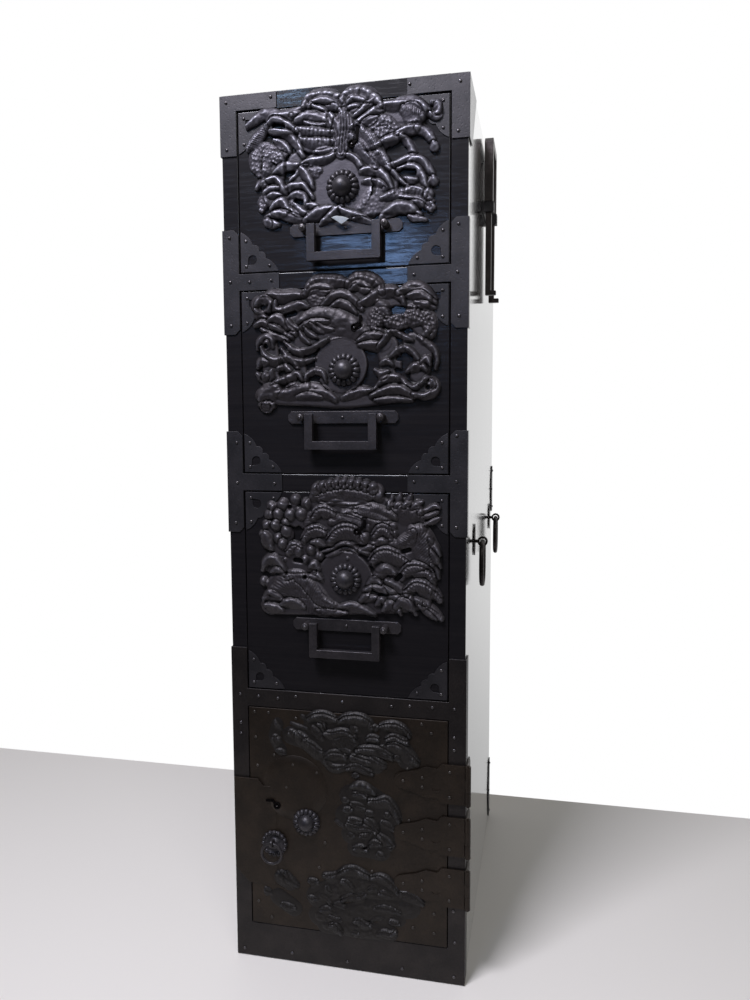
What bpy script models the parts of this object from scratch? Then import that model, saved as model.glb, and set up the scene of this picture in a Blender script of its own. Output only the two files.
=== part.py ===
"""A narrow lacquered tansu chest with three drawers, a hinged door and carved iron fittings.

The frame is in metres. The origin is the centre of the underside, +X is to the right of
someone facing the front, +Y runs into the depth and +Z is up. The front faces -Y.
"""

import math

import bmesh
import bpy
from mathutils import Vector

for old_object in list(bpy.data.objects):
    bpy.data.objects.remove(old_object, do_unlink=True)

# The case
case_width = 0.300
case_depth = 0.450
side_thickness = 0.020
top_thickness = 0.020
back_thickness = 0.008
base_height = 0.048
base_rail_depth = 0.020
base_board_thickness = 0.012
dust_board_thickness = 0.009
rail_depth = 0.032
seat_gap = 0.0003

# Heights of the openings and of the rails under the drawers, from the top down
drawer_opening_heights = (0.192, 0.225, 0.256)
drawer_rail_heights = (0.020, 0.021, 0.023)
door_opening_height = 0.295
case_height = (base_height + door_opening_height + sum(drawer_opening_heights)
               + sum(drawer_rail_heights) + top_thickness)

# Drawers
front_thickness = 0.020
front_side_gap = 0.001
front_top_gap = 0.001
drawer_lift = 0.0008
box_wall = 0.009
box_floor = 0.006
box_head_room = 0.014
box_back_room = 0.020

# Locks
bolt_width = 0.028
bolt_height = 0.028
bolt_thickness = 0.005
bolt_travel = 0.008
bolt_drop = 0.001
mortise_side_gap = 0.0004
strike_slack = 0.0015
keyway_shift = 0.013

# Iron sheet on the case
sheet_thickness = 0.0012
sheet_floor_gap = 0.001
iron_arm = 0.071
iron_leg_width = 0.0195
top_iron_leg = 0.072
top_leaf_depth = 0.080
top_leaf_foot = 0.030
tee_leg_rise = 0.053
tee_chamfer = 0.006
edge_lip = 0.010
lower_iron_rise = 0.054
lower_lip = 0.022

# Relief plates on the drawers
plate_edge = 0.0015
plate_cell = 0.0100
plate_margins = (0.077, 0.075, 0.068)
plate_heights = (0.150, 0.156, 0.173)
plate_crests_over_opening = (0.010, 0.012, 0.016)
plate_shifts = (0.0015, 0.0015, 0.005)
plate_relief = 0.012
boss_drops = (0.108, 0.111, 0.124)
boss_shift = 0.0026
boss_field_thickness = 0.0035
boss_field_radius = 0.0225
boss_radius = 0.020
boss_collar_radius = 0.0125
boss_height = 0.015
boss_petals = 16
boss_petal_depth = 0.0012
boss_rim_shares = ((1.0, 0.0), (1.0, 0.17), (0.90, 0.28))
boss_dome_shares = ((1.0, 0.32), (0.86, 0.62), (0.50, 0.93), (0.0, 1.0))

# Drawer handles
handle_plate_length = 0.138
handle_plate_height = 0.015
handle_plate_thickness = 0.0025
handle_room = 0.0008
handle_shifts = (0.005, -0.0005, 0.0025)
handle_heights_over_opening = (0.0475, 0.0695, 0.089)
post_spacing = 0.099
post_radius = 0.0045
post_length = 0.0165
post_cap_radius = 0.0036
post_cap_height = 0.003
bail_width = 0.089
bail_height = 0.043
bail_bar = 0.010
bail_thickness = 0.008
bail_stand_off = 0.0125
bail_chamfer = 0.001
bail_axis_share = 0.42
pin_radius = 0.0022
pin_length = 0.0060
pin_gap = 0.0003

# Door
door_thickness = 0.020
door_swing_gap = 0.0015
door_sheet_thickness = 0.0020
door_relief = 0.007
door_relief_sink = 0.0004
door_lock_plate_thickness = 0.0015
door_lock_plate_reach = 0.057
door_lock_plate_top = 0.199
door_lock_plate_step = 0.009
door_lock_plate_step_places = (0.033, 0.040)
door_lock_plate_height = 0.142
door_lock_plate_overhang = 0.0185
ring_place = 0.054
ring_drop = 0.181
ring_radius = 0.0135
ring_bar_radius = 0.0021
ring_stand_off = 0.0125
rosette_radius = 0.0165
rosette_hub_radius = 0.0065
rosette_rim = 0.004
rosette_height = 0.0055
rosette_shares = ((1.0, 0.6), (0.8, 1.0), (0.4, 0.7))
ring_seat_share = 0.4
rosette_hub_share = 0.6
staple_width = 0.0050
staple_wall = 0.0022
door_boss_place = 0.0976
door_boss_drop = 0.148
door_boss_radius = 0.018
door_boss_height = 0.013
door_bolt_height = 0.030
door_bolt_length = 0.028
door_bolt_drop = 0.136

# Hinges
hinge_height = 0.050
hinge_centres_over_base = (0.215, 0.148, 0.081)
hinge_thickness = 0.0018
hinge_knuckle_radius = 0.0036
hinge_pin_radius = 0.0019
hinge_pin_gap = 0.0003
hinge_corner_offset = 0.0045
hinge_strap_reach = 0.090
hinge_strap_neck = 0.030
lobe_share = 0.42
strap_waist_shares = ((0.12, 0.74), (0.40, 0.80), (0.66, 0.58))
hinge_leaf_reach = 0.036
hinge_knuckle_gap = 0.0004
hinge_pin_head = 0.0015
strap_room = 0.0008
leaf_tip_share = 0.6
leaf_slant_share = 0.4

# Lifting handles on the sides
lift_place = 0.240
lift_width = 0.080
lift_thick_bar = 0.012
lift_thin_bar = 0.008
lift_top_drop = 0.001
lift_shoulder_drop = 0.0877
lift_foot_drop = 0.215
lift_toe = 0.007
lift_toe_height = 0.006
lift_stand_off = 0.0085
keeper_width = 0.098
keeper_height = 0.014
keeper_plate = 0.0015
keeper_wall = 0.0030
keeper_gap = 0.0004

# Hanging rings on the sides
ring_front_inset = 0.104
ring_rear_inset = 0.065
side_ring_pivot_height = 0.550
side_ring_height = 0.066
side_ring_width = 0.042
side_ring_bar_radius = 0.0035
side_ring_stand_off = 0.0115
eye_wall = 0.0028
eye_gap = 0.0006
eye_thickness = 0.0050
eye_plate_width = 0.014
eye_plate_height = 0.042
eye_plate_thickness = 0.0015
eye_neck = 0.0020
eye_low_share = 0.45
eye_point_share = 1.6
ring_bend_share = 0.45
ring_foot_shares = (0.7, 0.3)

# Cutting overrun and facet counts
overrun = 0.002
weld = 0.00001
round_sides = 12
pin_sides = 10
ring_sides = 20
ring_bar_sides = 8

# Places worked out from the sizes above
half_width = case_width / 2
front = -case_depth / 2
back = case_depth / 2
inner_half = half_width - side_thickness
iron_back = front - seat_gap
iron_front = iron_back - sheet_thickness
side_iron_inner = half_width + seat_gap
side_iron_outer = side_iron_inner + sheet_thickness
door_low = base_height
door_high = base_height + door_opening_height
lower_iron_height = door_high + drawer_rail_heights[2] + lower_iron_rise
ring_places = (("front", front + ring_front_inset), ("rear", back - ring_rear_inset))


def opening_range(drawer):
    """Lowest and highest z of a drawer's opening, counted from 0 at the top."""
    top = case_height - top_thickness
    for number in range(drawer):
        top -= drawer_opening_heights[number] + drawer_rail_heights[number]
    return top - drawer_opening_heights[drawer], top


def material(name, colour, roughness, metallic):
    made = bpy.data.materials.new(name)
    made.use_nodes = True
    shader = made.node_tree.nodes["Principled BSDF"]
    shader.inputs["Base Color"].default_value = (*colour, 1)
    shader.inputs["Roughness"].default_value = roughness
    shader.inputs["Metallic"].default_value = metallic
    return made


lacquer_colour = (0.010, 0.010, 0.012)
wood_colour = (0.30, 0.20, 0.11)
iron_colour = (0.045, 0.043, 0.045)
worn_iron_colour = (0.075, 0.060, 0.052)


def lacquer(name):
    return material(name + "_lacquer", lacquer_colour, 0.12, 0.0)


def bare_wood(name):
    return material(name + "_wood", wood_colour, 0.6, 0.0)


def black_iron(name):
    return material(name + "_iron", iron_colour, 0.45, 0.8)


def worn_iron(name):
    return material(name + "_iron", worn_iron_colour, 0.4, 0.9)


def finish(name, bm, look, smooth=False, place=None):
    """Turn a bmesh into a named object. Its origin goes to place, the joint axis if it has one."""
    bmesh.ops.recalc_face_normals(bm, faces=bm.faces)
    origin = Vector(place) if place else Vector((0, 0, 0))
    bmesh.ops.translate(bm, vec=-origin, verts=bm.verts)
    mesh = bpy.data.meshes.new(name)
    bm.to_mesh(mesh)
    bm.free()
    made = bpy.data.objects.new(name, mesh)
    bpy.context.scene.collection.objects.link(made)
    made.location = origin
    mesh.materials.append(look(name))
    if smooth:
        mesh.shade_smooth()
        mesh.set_sharp_from_angle(angle=math.radians(35))
    return made


def cutter(name, bm):
    """A hidden helper shape for a Boolean."""
    bmesh.ops.recalc_face_normals(bm, faces=bm.faces)
    mesh = bpy.data.meshes.new(name)
    bm.to_mesh(mesh)
    bm.free()
    made = bpy.data.objects.new(name, mesh)
    bpy.context.scene.collection.objects.link(made)
    made.hide_render = True
    made.display_type = "WIRE"
    return made


def combine(target, operation, bm, label):
    """Join a bmesh to an object or cut it away, exactly."""
    helper = cutter(target.name + "_" + label, bm)
    step = target.modifiers.new(label, "BOOLEAN")
    step.operation = operation
    step.solver = "EXACT"
    step.object = helper


def add_box(bm, low, high):
    corners = [bm.verts.new((x, y, z)) for z in (low[2], high[2])
               for y in (low[1], high[1]) for x in (low[0], high[0])]
    for face in ((0, 2, 3, 1), (4, 5, 7, 6), (0, 1, 5, 4), (2, 6, 7, 3), (0, 4, 6, 2), (1, 3, 7, 5)):
        bm.faces.new([corners[index] for index in face])


def box(low, high):
    bm = bmesh.new()
    add_box(bm, low, high)
    return bm


def add_prism(bm, outline, axis, low, high):
    """Extrude an outline along an axis. The outline holds the two other coordinates in order."""
    def corner(point, depth):
        place = list(point)
        place.insert("XYZ".index(axis), depth)
        return place
    lower = [bm.verts.new(corner(point, low)) for point in outline]
    upper = [bm.verts.new(corner(point, high)) for point in outline]
    bm.faces.new(lower)
    bm.faces.new(list(reversed(upper)))
    count = len(outline)
    for index in range(count):
        following = (index + 1) % count
        bm.faces.new((lower[index], upper[index], upper[following], lower[following]))


def prism(outline, axis, low, high):
    bm = bmesh.new()
    add_prism(bm, outline, axis, low, high)
    return bm


def circle(centre, radius, sides, start=0.0, sweep=2 * math.pi):
    """Points on an arc. A full circle leaves out the last point, which is the first."""
    closed = abs(sweep - 2 * math.pi) < 0.001
    steps = sides if closed else sides - 1
    return [(centre[0] + radius * math.cos(start + sweep * step / steps),
             centre[1] + radius * math.sin(start + sweep * step / steps)) for step in range(sides)]


def rod(centre, radius, axis, low, high, sides):
    return prism(circle(centre, radius, sides), axis, low, high)


def turned(profile, centre, sides, ripple=None):
    """Turn a profile of (radius, stand-off) about an axis that faces the front at centre."""
    bm = bmesh.new()
    rings = []
    for radius, stand in profile:
        if radius == 0:
            rings.append([bm.verts.new((centre[0], centre[1] - stand, centre[2]))])
            continue
        ring = []
        for step in range(sides):
            angle = 2 * math.pi * step / sides
            reach = radius - (ripple(angle, radius) if ripple else 0)
            ring.append(bm.verts.new((centre[0] + reach * math.cos(angle), centre[1] - stand,
                                      centre[2] + reach * math.sin(angle))))
        rings.append(ring)
    for inner, outer in zip(rings, rings[1:]):
        for step in range(sides):
            following = (step + 1) % sides
            if len(inner) == 1:
                bm.faces.new((inner[0], outer[step], outer[following]))
            elif len(outer) == 1:
                bm.faces.new((inner[step], outer[0], inner[following]))
            else:
                bm.faces.new((inner[step], outer[step], outer[following], inner[following]))
    return bm


def closed_tube(path, radius, sides, flat_axis):
    """A round bar bent into a closed loop that lies in the plane square to flat_axis."""
    bm = bmesh.new()
    normal = Vector(flat_axis)
    count = len(path)
    rings = []
    for index, point in enumerate(path):
        ahead = Vector(path[(index + 1) % count]) - Vector(path[index - 1])
        across = ahead.normalized().cross(normal).normalized()
        ring = []
        for step in range(sides):
            angle = 2 * math.pi * step / sides
            offset = radius * (math.cos(angle) * across + math.sin(angle) * normal)
            ring.append(bm.verts.new(Vector(point) + offset))
        rings.append(ring)
    for index in range(count):
        here, ahead_ring = rings[index], rings[(index + 1) % count]
        for step in range(sides):
            following = (step + 1) % sides
            bm.faces.new((here[step], here[following], ahead_ring[following], ahead_ring[step]))
    return bm


def distance_to_run(point, start, end):
    """Distance from a point to a straight run, and how far along the run the nearest place is."""
    run = (end[0] - start[0], end[1] - start[1])
    length = run[0] * run[0] + run[1] * run[1]
    along = 0.0
    if length > 0:
        along = ((point[0] - start[0]) * run[0] + (point[1] - start[1]) * run[1]) / length
        along = min(1.0, max(0.0, along))
    near = (start[0] + along * run[0], start[1] + along * run[1])
    return math.dist(point, near), along


def relief_height(across, up, drawing, relief):
    """Height of the hammered relief at a place of the plate, negative outside its outline."""
    spread_share, stroke_shares = drawing
    best = -relief
    for radius_share, height_share, route_shares in stroke_shares:
        route = [(across_share * spread_share, up_share) for across_share, up_share in route_shares]
        runs = list(zip(route, route[1:])) or [(route[0], route[0])]
        point = (across * spread_share, up)
        nearest = min(distance_to_run(point, start, end)[0] for start, end in runs)
        swell = height_share * relief * (1 - (nearest / radius_share) ** 2)
        best = max(best, swell)
    return best


def relief_solid(low, size, drawing, relief, back_y, edge):
    """A sheet hammered out towards the front, with a flat back at back_y."""
    columns = max(2, round(size[0] / plate_cell)) + 2
    rows = max(2, round(size[1] / plate_cell)) + 2
    step_x = size[0] / (columns - 2)
    step_z = size[1] / (rows - 2)
    bm = bmesh.new()
    grid = []
    for row in range(rows + 1):
        line = []
        for column in range(columns + 1):
            point = ((column - 1) * step_x, (row - 1) * step_z)
            height = relief_height(point[0] / size[0], point[1] / size[1], drawing, relief)
            line.append(bm.verts.new((low[0] + point[0], back_y - edge - height, low[1] + point[1])))
        grid.append(line)
    for row in range(rows):
        for column in range(columns):
            bm.faces.new((grid[row][column], grid[row][column + 1],
                          grid[row + 1][column + 1], grid[row + 1][column]))
    bmesh.ops.triangulate(bm, faces=bm.faces)
    everything = list(bm.verts) + list(bm.edges) + list(bm.faces)
    bmesh.ops.bisect_plane(bm, geom=everything, dist=weld, plane_co=(0, back_y - edge, 0),
                           plane_no=(0, 1, 0), clear_outer=True)
    rim = [joint for joint in bm.edges if joint.is_boundary]
    copied = bmesh.ops.duplicate(bm, geom=list(bm.faces))
    rear_faces = [item for item in copied["geom"] if isinstance(item, bmesh.types.BMFace)]
    grown = bmesh.ops.extrude_edge_only(bm, edges=rim)
    for item in copied["geom"] + grown["geom"]:
        if isinstance(item, bmesh.types.BMVert):
            item.co.y = back_y
    bmesh.ops.reverse_faces(bm, faces=rear_faces)
    bmesh.ops.remove_doubles(bm, verts=bm.verts, dist=weld)
    rear_edges = list({joint for face in bm.faces for joint in face.edges
                       if all(abs(corner.co.y - back_y) < weld for corner in joint.verts)})
    bmesh.ops.dissolve_limit(bm, angle_limit=math.radians(1), verts=[], edges=rear_edges)
    return bm


# The carving's main masses, one list for each plate. Each row is a radius as a share of the
# plate's height, a height as a share of the relief, and the route's places as shares of the
# plate's width and height from its lower left corner. A drawing is such a list after the
# width that it was drawn at, as a share of its height, so the openings stay at any size.
dragon_mass_shares = (
    (0.25, 0.30, ((0.50, 0.27), (0.50, 0.34))),
    (0.12, 0.85, ((0.36, 0.86), (0.50, 0.87), (0.64, 0.88))),
    (0.11, 0.75, ((0.09, 0.76), (0.18, 0.80), (0.33, 0.79), (0.44, 0.70))),
    (0.13, 0.65, ((0.13, 0.66), (0.30, 0.64), (0.47, 0.60))),
    (0.13, 0.60, ((0.14, 0.52), (0.25, 0.46))),
    (0.11, 0.80, ((0.09, 0.32), (0.20, 0.35), (0.34, 0.33))),
    (0.11, 0.80, ((0.13, 0.13), (0.24, 0.16), (0.38, 0.16))),
    (0.10, 0.85, ((0.34, 0.12), (0.50, 0.17), (0.66, 0.12))),
    (0.15, 1.00, ((0.47, 0.62), (0.52, 0.80))),
    (0.12, 0.90, ((0.56, 0.68), (0.72, 0.79), (0.88, 0.79), (0.94, 0.76))),
    (0.11, 0.90, ((0.58, 0.66), (0.72, 0.45), (0.86, 0.28))),
    (0.09, 0.80, ((0.72, 0.62), (0.82, 0.68), (0.92, 0.62), (0.97, 0.54))),
    (0.09, 0.70, ((0.84, 0.46), (0.93, 0.42), (0.97, 0.26))),
    (0.13, 0.65, ((0.66, 0.17), (0.80, 0.20), (0.93, 0.15))),
    (0.10, 0.55, ((0.62, 0.26), (0.78, 0.30))),
)
wave_mass_shares = (
    (0.27, 0.25, ((0.50, 0.29), (0.50, 0.40))),
    (0.11, 0.80, ((0.34, 0.90), (0.42, 0.93), (0.50, 0.89), (0.60, 0.93), (0.68, 0.89))),
    (0.12, 0.85, ((0.08, 0.77), (0.22, 0.79), (0.36, 0.80))),
    (0.13, 0.90, ((0.26, 0.73), (0.42, 0.73), (0.60, 0.62))),
    (0.12, 0.75, ((0.68, 0.79), (0.82, 0.79), (0.93, 0.77))),
    (0.13, 0.80, ((0.68, 0.66), (0.80, 0.62), (0.92, 0.62))),
    (0.10, 0.65, ((0.11, 0.66), (0.25, 0.56), (0.38, 0.50))),
    (0.11, 0.80, ((0.09, 0.50), (0.10, 0.34), (0.22, 0.40))),
    (0.11, 0.80, ((0.90, 0.54), (0.93, 0.40), (0.84, 0.30), (0.76, 0.40))),
    (0.11, 0.75, ((0.06, 0.06), (0.24, 0.18), (0.42, 0.10))),
    (0.11, 0.80, ((0.42, 0.10), (0.66, 0.14), (0.82, 0.14), (0.95, 0.13))),
    (0.10, 0.60, ((0.18, 0.26), (0.34, 0.26))),
    (0.10, 0.60, ((0.70, 0.24), (0.82, 0.26))),
)
crane_mass_shares = (
    (0.25, 0.25, ((0.48, 0.28), (0.48, 0.44))),
    (0.08, 0.95, ((0.33, 0.92), (0.48, 0.94), (0.62, 0.92))),
    (0.10, 0.55, ((0.36, 0.80), (0.48, 0.82), (0.62, 0.80))),
    (0.12, 0.80, ((0.08, 0.62), (0.15, 0.75), (0.30, 0.77))),
    (0.12, 0.75, ((0.08, 0.52), (0.20, 0.58))),
    (0.13, 0.65, ((0.28, 0.68), (0.48, 0.68), (0.66, 0.66))),
    (0.12, 0.85, ((0.67, 0.78), (0.80, 0.76), (0.93, 0.76))),
    (0.10, 0.80, ((0.80, 0.72), (0.93, 0.66), (0.97, 0.44))),
    (0.12, 0.70, ((0.72, 0.46), (0.84, 0.40))),
    (0.13, 0.75, ((0.08, 0.38), (0.16, 0.26))),
    (0.13, 0.70, ((0.08, 0.12), (0.24, 0.14))),
    (0.13, 0.75, ((0.20, 0.30), (0.36, 0.14), (0.56, 0.09))),
    (0.11, 0.65, ((0.60, 0.10), (0.76, 0.10))),
    (0.11, 0.75, ((0.72, 0.30), (0.90, 0.26), (0.95, 0.17))),
    (0.08, 0.50, ((0.80, 0.18), (0.96, 0.06))),
)
door_top_mass_shares = (
    (0.34, 0.75, ((0.10, 0.56), (0.26, 0.44), (0.40, 0.60))),
    (0.36, 1.00, ((0.34, 0.72), (0.48, 0.66), (0.62, 0.72))),
    (0.34, 0.80, ((0.72, 0.64), (0.86, 0.60), (0.90, 0.40))),
    (0.32, 0.80, ((0.42, 0.26), (0.60, 0.24), (0.78, 0.34))),
)
door_centre_mass_shares = (
    (0.20, 0.80, ((0.40, 0.84), (0.60, 0.78), (0.78, 0.64))),
    (0.28, 0.60, ((0.34, 0.52), (0.62, 0.50))),
    (0.20, 0.80, ((0.36, 0.22), (0.60, 0.20), (0.74, 0.34))),
)
door_foot_mass_shares = (
    (0.30, 0.60, ((0.32, 0.62), (0.50, 0.66), (0.70, 0.62))),
    (0.26, 0.50, ((0.78, 0.62), (0.86, 0.48))),
    (0.30, 0.80, ((0.24, 0.32), (0.50, 0.30), (0.76, 0.30))),
)
plate_drawing_shares = (
    (1.49, dragon_mass_shares),
    (1.44, wave_mass_shares),
    (1.34, crane_mass_shares),
)
door_relief_shares = (
    ((2.50, door_top_mass_shares), (0.105, 0.742), (0.752, 0.262)),
    ((0.87, door_centre_mass_shares), (0.452, 0.377), (0.312, 0.313)),
    ((2.12, door_foot_mass_shares), (0.085, -0.036), (0.815, 0.335)),
)


def make_case():
    for name, side in (("left", -1), ("right", 1)):
        near, far = sorted((side * inner_half, side * half_width))
        panel = finish(f"side_panel_{name}", box((near, front, 0), (far, back, case_height)), lacquer)
        if name == "left":
            cut_door_strike(panel)
    inside = inner_half - seat_gap
    behind = back - back_thickness
    finish("back_panel", box((-inside, behind, 0), (inside, back, case_height)), bare_wood)
    top_low = case_height - top_thickness
    top = finish("top_board", box((-inside, front, top_low), (inside, behind - seat_gap, case_height)),
                 lacquer)
    cut_strike(top, 0)
    for drawer in range(3):
        low = opening_range(drawer)[0]
        make_rail(f"divider_{drawer + 1}", low, drawer_rail_heights[drawer], rail_depth,
                  dust_board_thickness, drawer + 1)
    make_base()


def make_rail(name, top, height, depth, board, drawer_below):
    """A front rail and the board behind it, flush on top, cut from one outline of y and z."""
    inside = inner_half - seat_gap
    behind = back - back_thickness - seat_gap
    outline = ((front, top - height), (front + depth, top - height), (front + depth, top - board),
               (behind, top - board), (behind, top), (front, top))
    rail = finish(name, prism(outline, "X", -inside, inside), lacquer)
    if drawer_below < 3:
        cut_strike(rail, drawer_below)


def make_base():
    """The sill rail under the door and the bottom board behind it, flush with the underside."""
    inside = inner_half - seat_gap
    behind = back - back_thickness - seat_gap
    outline = ((front, 0), (behind, 0), (behind, base_board_thickness),
               (front + base_rail_depth, base_board_thickness), (front + base_rail_depth, base_height),
               (front, base_height))
    finish("base", prism(outline, "X", -inside, inside), lacquer)


def bolt_box(drawer, grow=0.0):
    """The space of a drawer's lock bolt, grown on every side by a clearance."""
    high = opening_range(drawer)[1] - front_top_gap - bolt_drop
    centre = boss_shift + keyway_shift
    rear = front + front_thickness - seat_gap
    low = (centre - bolt_width / 2 - grow, rear - bolt_thickness - grow, high - bolt_height - grow)
    return low, (centre + bolt_width / 2 + grow, rear + grow, high + grow)


def cut_strike(rail, drawer):
    """The slot in the rail above a drawer, which the raised bolt enters."""
    low, high = bolt_box(drawer, strike_slack)
    ceiling = opening_range(drawer)[1]
    roof = ceiling + bolt_travel
    combine(rail, "DIFFERENCE", box((low[0], low[1], ceiling - overrun), (high[0], high[1], roof)),
            "strike")


def cut_door_strike(panel):
    """The slot in the left side panel, which the door's bolt enters."""
    low, high = door_bolt_box(strike_slack)
    reach = -inner_half - bolt_travel
    combine(panel, "DIFFERENCE", box((reach, low[1], low[2]), (-inner_half + overrun, high[1], high[2])),
            "strike")


def make_drawer(drawer):
    name = f"drawer_{drawer + 1}"
    low, high = opening_range(drawer)
    reach = inner_half - front_side_gap
    rear = front + front_thickness
    panel = finish(f"{name}_front", box((-reach, front, low + drawer_lift),
                                        (reach, rear, high - front_top_gap)), lacquer)
    cut_low, cut_high = bolt_box(drawer, mortise_side_gap)
    combine(panel, "DIFFERENCE", box(cut_low, (cut_high[0], cut_high[1] + overrun, cut_high[2] + overrun)),
            "mortise")
    make_box(f"{name}_box", low, high)
    finish(f"{name}_lock_bolt", box(*bolt_box(drawer)), worn_iron)
    make_lock_plate(drawer, high)
    make_handle(drawer)


def make_box(name, low, high):
    """The drawer's box: a floor, two sides and a back, open on top and behind the front."""
    reach = inner_half - front_side_gap
    near = front + front_thickness + seat_gap
    far = back - back_thickness - box_back_room
    floor = low + seat_gap
    rim = high - box_head_room
    made = finish(name, box((-reach, near, floor), (reach, far, rim)), bare_wood)
    inside = box((-reach + box_wall, near - overrun, floor + box_floor),
                 (reach - box_wall, far - box_wall, rim + overrun))
    combine(made, "DIFFERENCE", inside, "inside")


def boss_place(drawer):
    """Centre of a drawer's boss: x and z."""
    return boss_shift, opening_range(drawer)[1] + plate_crests_over_opening[drawer] - boss_drops[drawer]


def make_lock_plate(drawer, opening_top):
    """The carved plate. Its crest stands in front of the rail above."""
    size = (case_width - plate_margins[drawer], plate_heights[drawer])
    top = opening_top + plate_crests_over_opening[drawer]
    low = (plate_shifts[drawer] - size[0] / 2, top - size[1])
    bm = relief_solid(low, size, plate_drawing_shares[drawer], plate_relief, iron_back, plate_edge)
    plate = finish(f"drawer_{drawer + 1}_lock_plate", bm, black_iron, smooth=True)
    centre = boss_place(drawer)
    seat = iron_back - boss_field_thickness
    proud = iron_back - plate_edge - plate_relief - overrun
    combine(plate, "UNION", rod(centre, boss_field_radius, "Y", seat, iron_back, ring_sides), "field")
    combine(plate, "DIFFERENCE", rod(centre, boss_field_radius, "Y", proud, seat, ring_sides), "seat")
    room = prism(handle_outline(drawer, handle_room), "Y", proud, iron_back + overrun)
    combine(plate, "DIFFERENCE", room, "handle_room")
    boss = boss_shape((centre[0], seat - seat_gap, centre[1]), boss_radius, boss_height)
    finish(f"drawer_{drawer + 1}_boss", boss, black_iron, smooth=True)


def boss_shape(centre, radius, height):
    """A chrysanthemum boss: a ring of petals round a domed centre."""
    collar = boss_collar_radius * radius / boss_radius

    def petals(angle, reach):
        depth = boss_petal_depth * (1 - abs(math.cos(boss_petals * angle / 2)))
        return depth if reach > collar else 0

    profile = [(0, 0)]
    profile += [(radius * across, height * up) for across, up in boss_rim_shares]
    profile += [(collar * across, height * up) for across, up in boss_dome_shares]
    return turned(profile, centre, boss_petals * 2, petals)


def handle_place(drawer):
    """Centre of a drawer's handle plate: x and z."""
    return handle_shifts[drawer], opening_range(drawer)[0] + handle_heights_over_opening[drawer]


def handle_outline(drawer, grow=0.0):
    """The handle plate with its round ends, in x and z."""
    centre = handle_place(drawer)
    half = handle_plate_length / 2 - handle_plate_height / 2
    end = handle_plate_height / 2 + grow
    return (circle((centre[0] + half, centre[1]), end, 7, -math.pi / 2, math.pi)
            + circle((centre[0] - half, centre[1]), end, 7, math.pi / 2, math.pi))


def make_handle(drawer):
    """The back plate with its two posts, and the bail that swings in them."""
    centre = handle_place(drawer)
    plate_front = iron_back - handle_plate_thickness
    name = f"drawer_{drawer + 1}"
    plate = finish(f"{name}_handle_plate", prism(handle_outline(drawer), "Y", plate_front, iron_back),
                   black_iron, smooth=True)
    axis_y = front - bail_stand_off
    for label, side in (("left", -1), ("right", 1)):
        post = (centre[0] + side * post_spacing / 2, centre[1])
        shape = turned(((0, 0), (post_radius, 0), (post_radius, post_length - post_cap_height),
                        (post_cap_radius, post_length - post_cap_height / 3), (0, post_length)),
                       (post[0], iron_back - handle_plate_thickness / 2, post[1]), round_sides)
        combine(plate, "UNION", shape, f"post_{label}")
        inner = post[0] - side * (post_radius + overrun)
        outer = post[0] - side * (post_radius - pin_length)
        bore = rod((axis_y, centre[1]), pin_radius + pin_gap, "X", *sorted((inner, outer)), pin_sides)
        combine(plate, "DIFFERENCE", bore, f"bore_{label}")
    make_bail(name, centre, axis_y)


def make_bail(name, centre, axis_y):
    """A square bail, drawn in x and z, with a short pin at the top of each leg."""
    half = bail_width / 2
    top = centre[1] + bail_bar * bail_axis_share
    low = top - bail_height
    cut = bail_chamfer
    inner = half - bail_bar
    outline = [(-half, top), (-half, low + cut), (-half + cut, low), (half - cut, low), (half, low + cut),
               (half, top), (inner, top), (inner, low + bail_bar), (-inner, low + bail_bar), (-inner, top)]
    outline = [(centre[0] + x, z) for x, z in outline]
    low_y, high_y = axis_y - bail_thickness / 2, axis_y + bail_thickness / 2
    bail = finish(f"{name}_bail", prism(outline, "Y", low_y, high_y), black_iron,
                  place=(centre[0], axis_y, centre[1]))
    for label, side in (("left", -1), ("right", 1)):
        inside = centre[0] + side * (half - bail_bar / 2)
        tip = centre[0] + side * (post_spacing / 2 - post_radius + pin_length - pin_gap - pin_gap)
        combine(bail, "UNION", rod((axis_y, centre[1]), pin_radius, "X", *sorted((inside, tip)), pin_sides),
                f"pin_{label}")


def make_irons():
    """Sheet iron on the front corners, and on the whole lower front."""
    for label, side in (("left", -1), ("right", 1)):
        make_top_iron(label, side)
        for drawer in (0, 1):
            make_tee_iron(f"tee_iron_{drawer + 1}_{label}", drawer, side)
    make_lower_iron()


def sheet_and_lip(name, outline, side, lip_outline):
    """A flat sheet on the front with a lip folded round the side."""
    if side < 0:
        outline = [(-x, z) for x, z in outline]
    made = finish(name, prism(outline, "Y", iron_front, iron_back), black_iron)
    near, far = sorted((side * side_iron_inner, side * side_iron_outer))
    combine(made, "UNION", prism(lip_outline, "X", near, far), "lip")
    return made


def make_top_iron(label, side):
    top = case_height - sheet_floor_gap
    arm_low = case_height - iron_leg_width
    leg_low = case_height - top_iron_leg
    arm_in = half_width - iron_arm
    leg_in = half_width - iron_leg_width
    outline = [(arm_in, arm_low), (leg_in, arm_low), (leg_in, leg_low), (side_iron_outer, leg_low),
               (side_iron_outer, top), (arm_in, top)]
    leaf = [(iron_front, leg_low), (front + top_leaf_foot, leg_low), (front + top_leaf_depth, top),
            (iron_front, top)]
    sheet_and_lip(f"top_corner_iron_{label}", outline, side, leaf)


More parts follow.
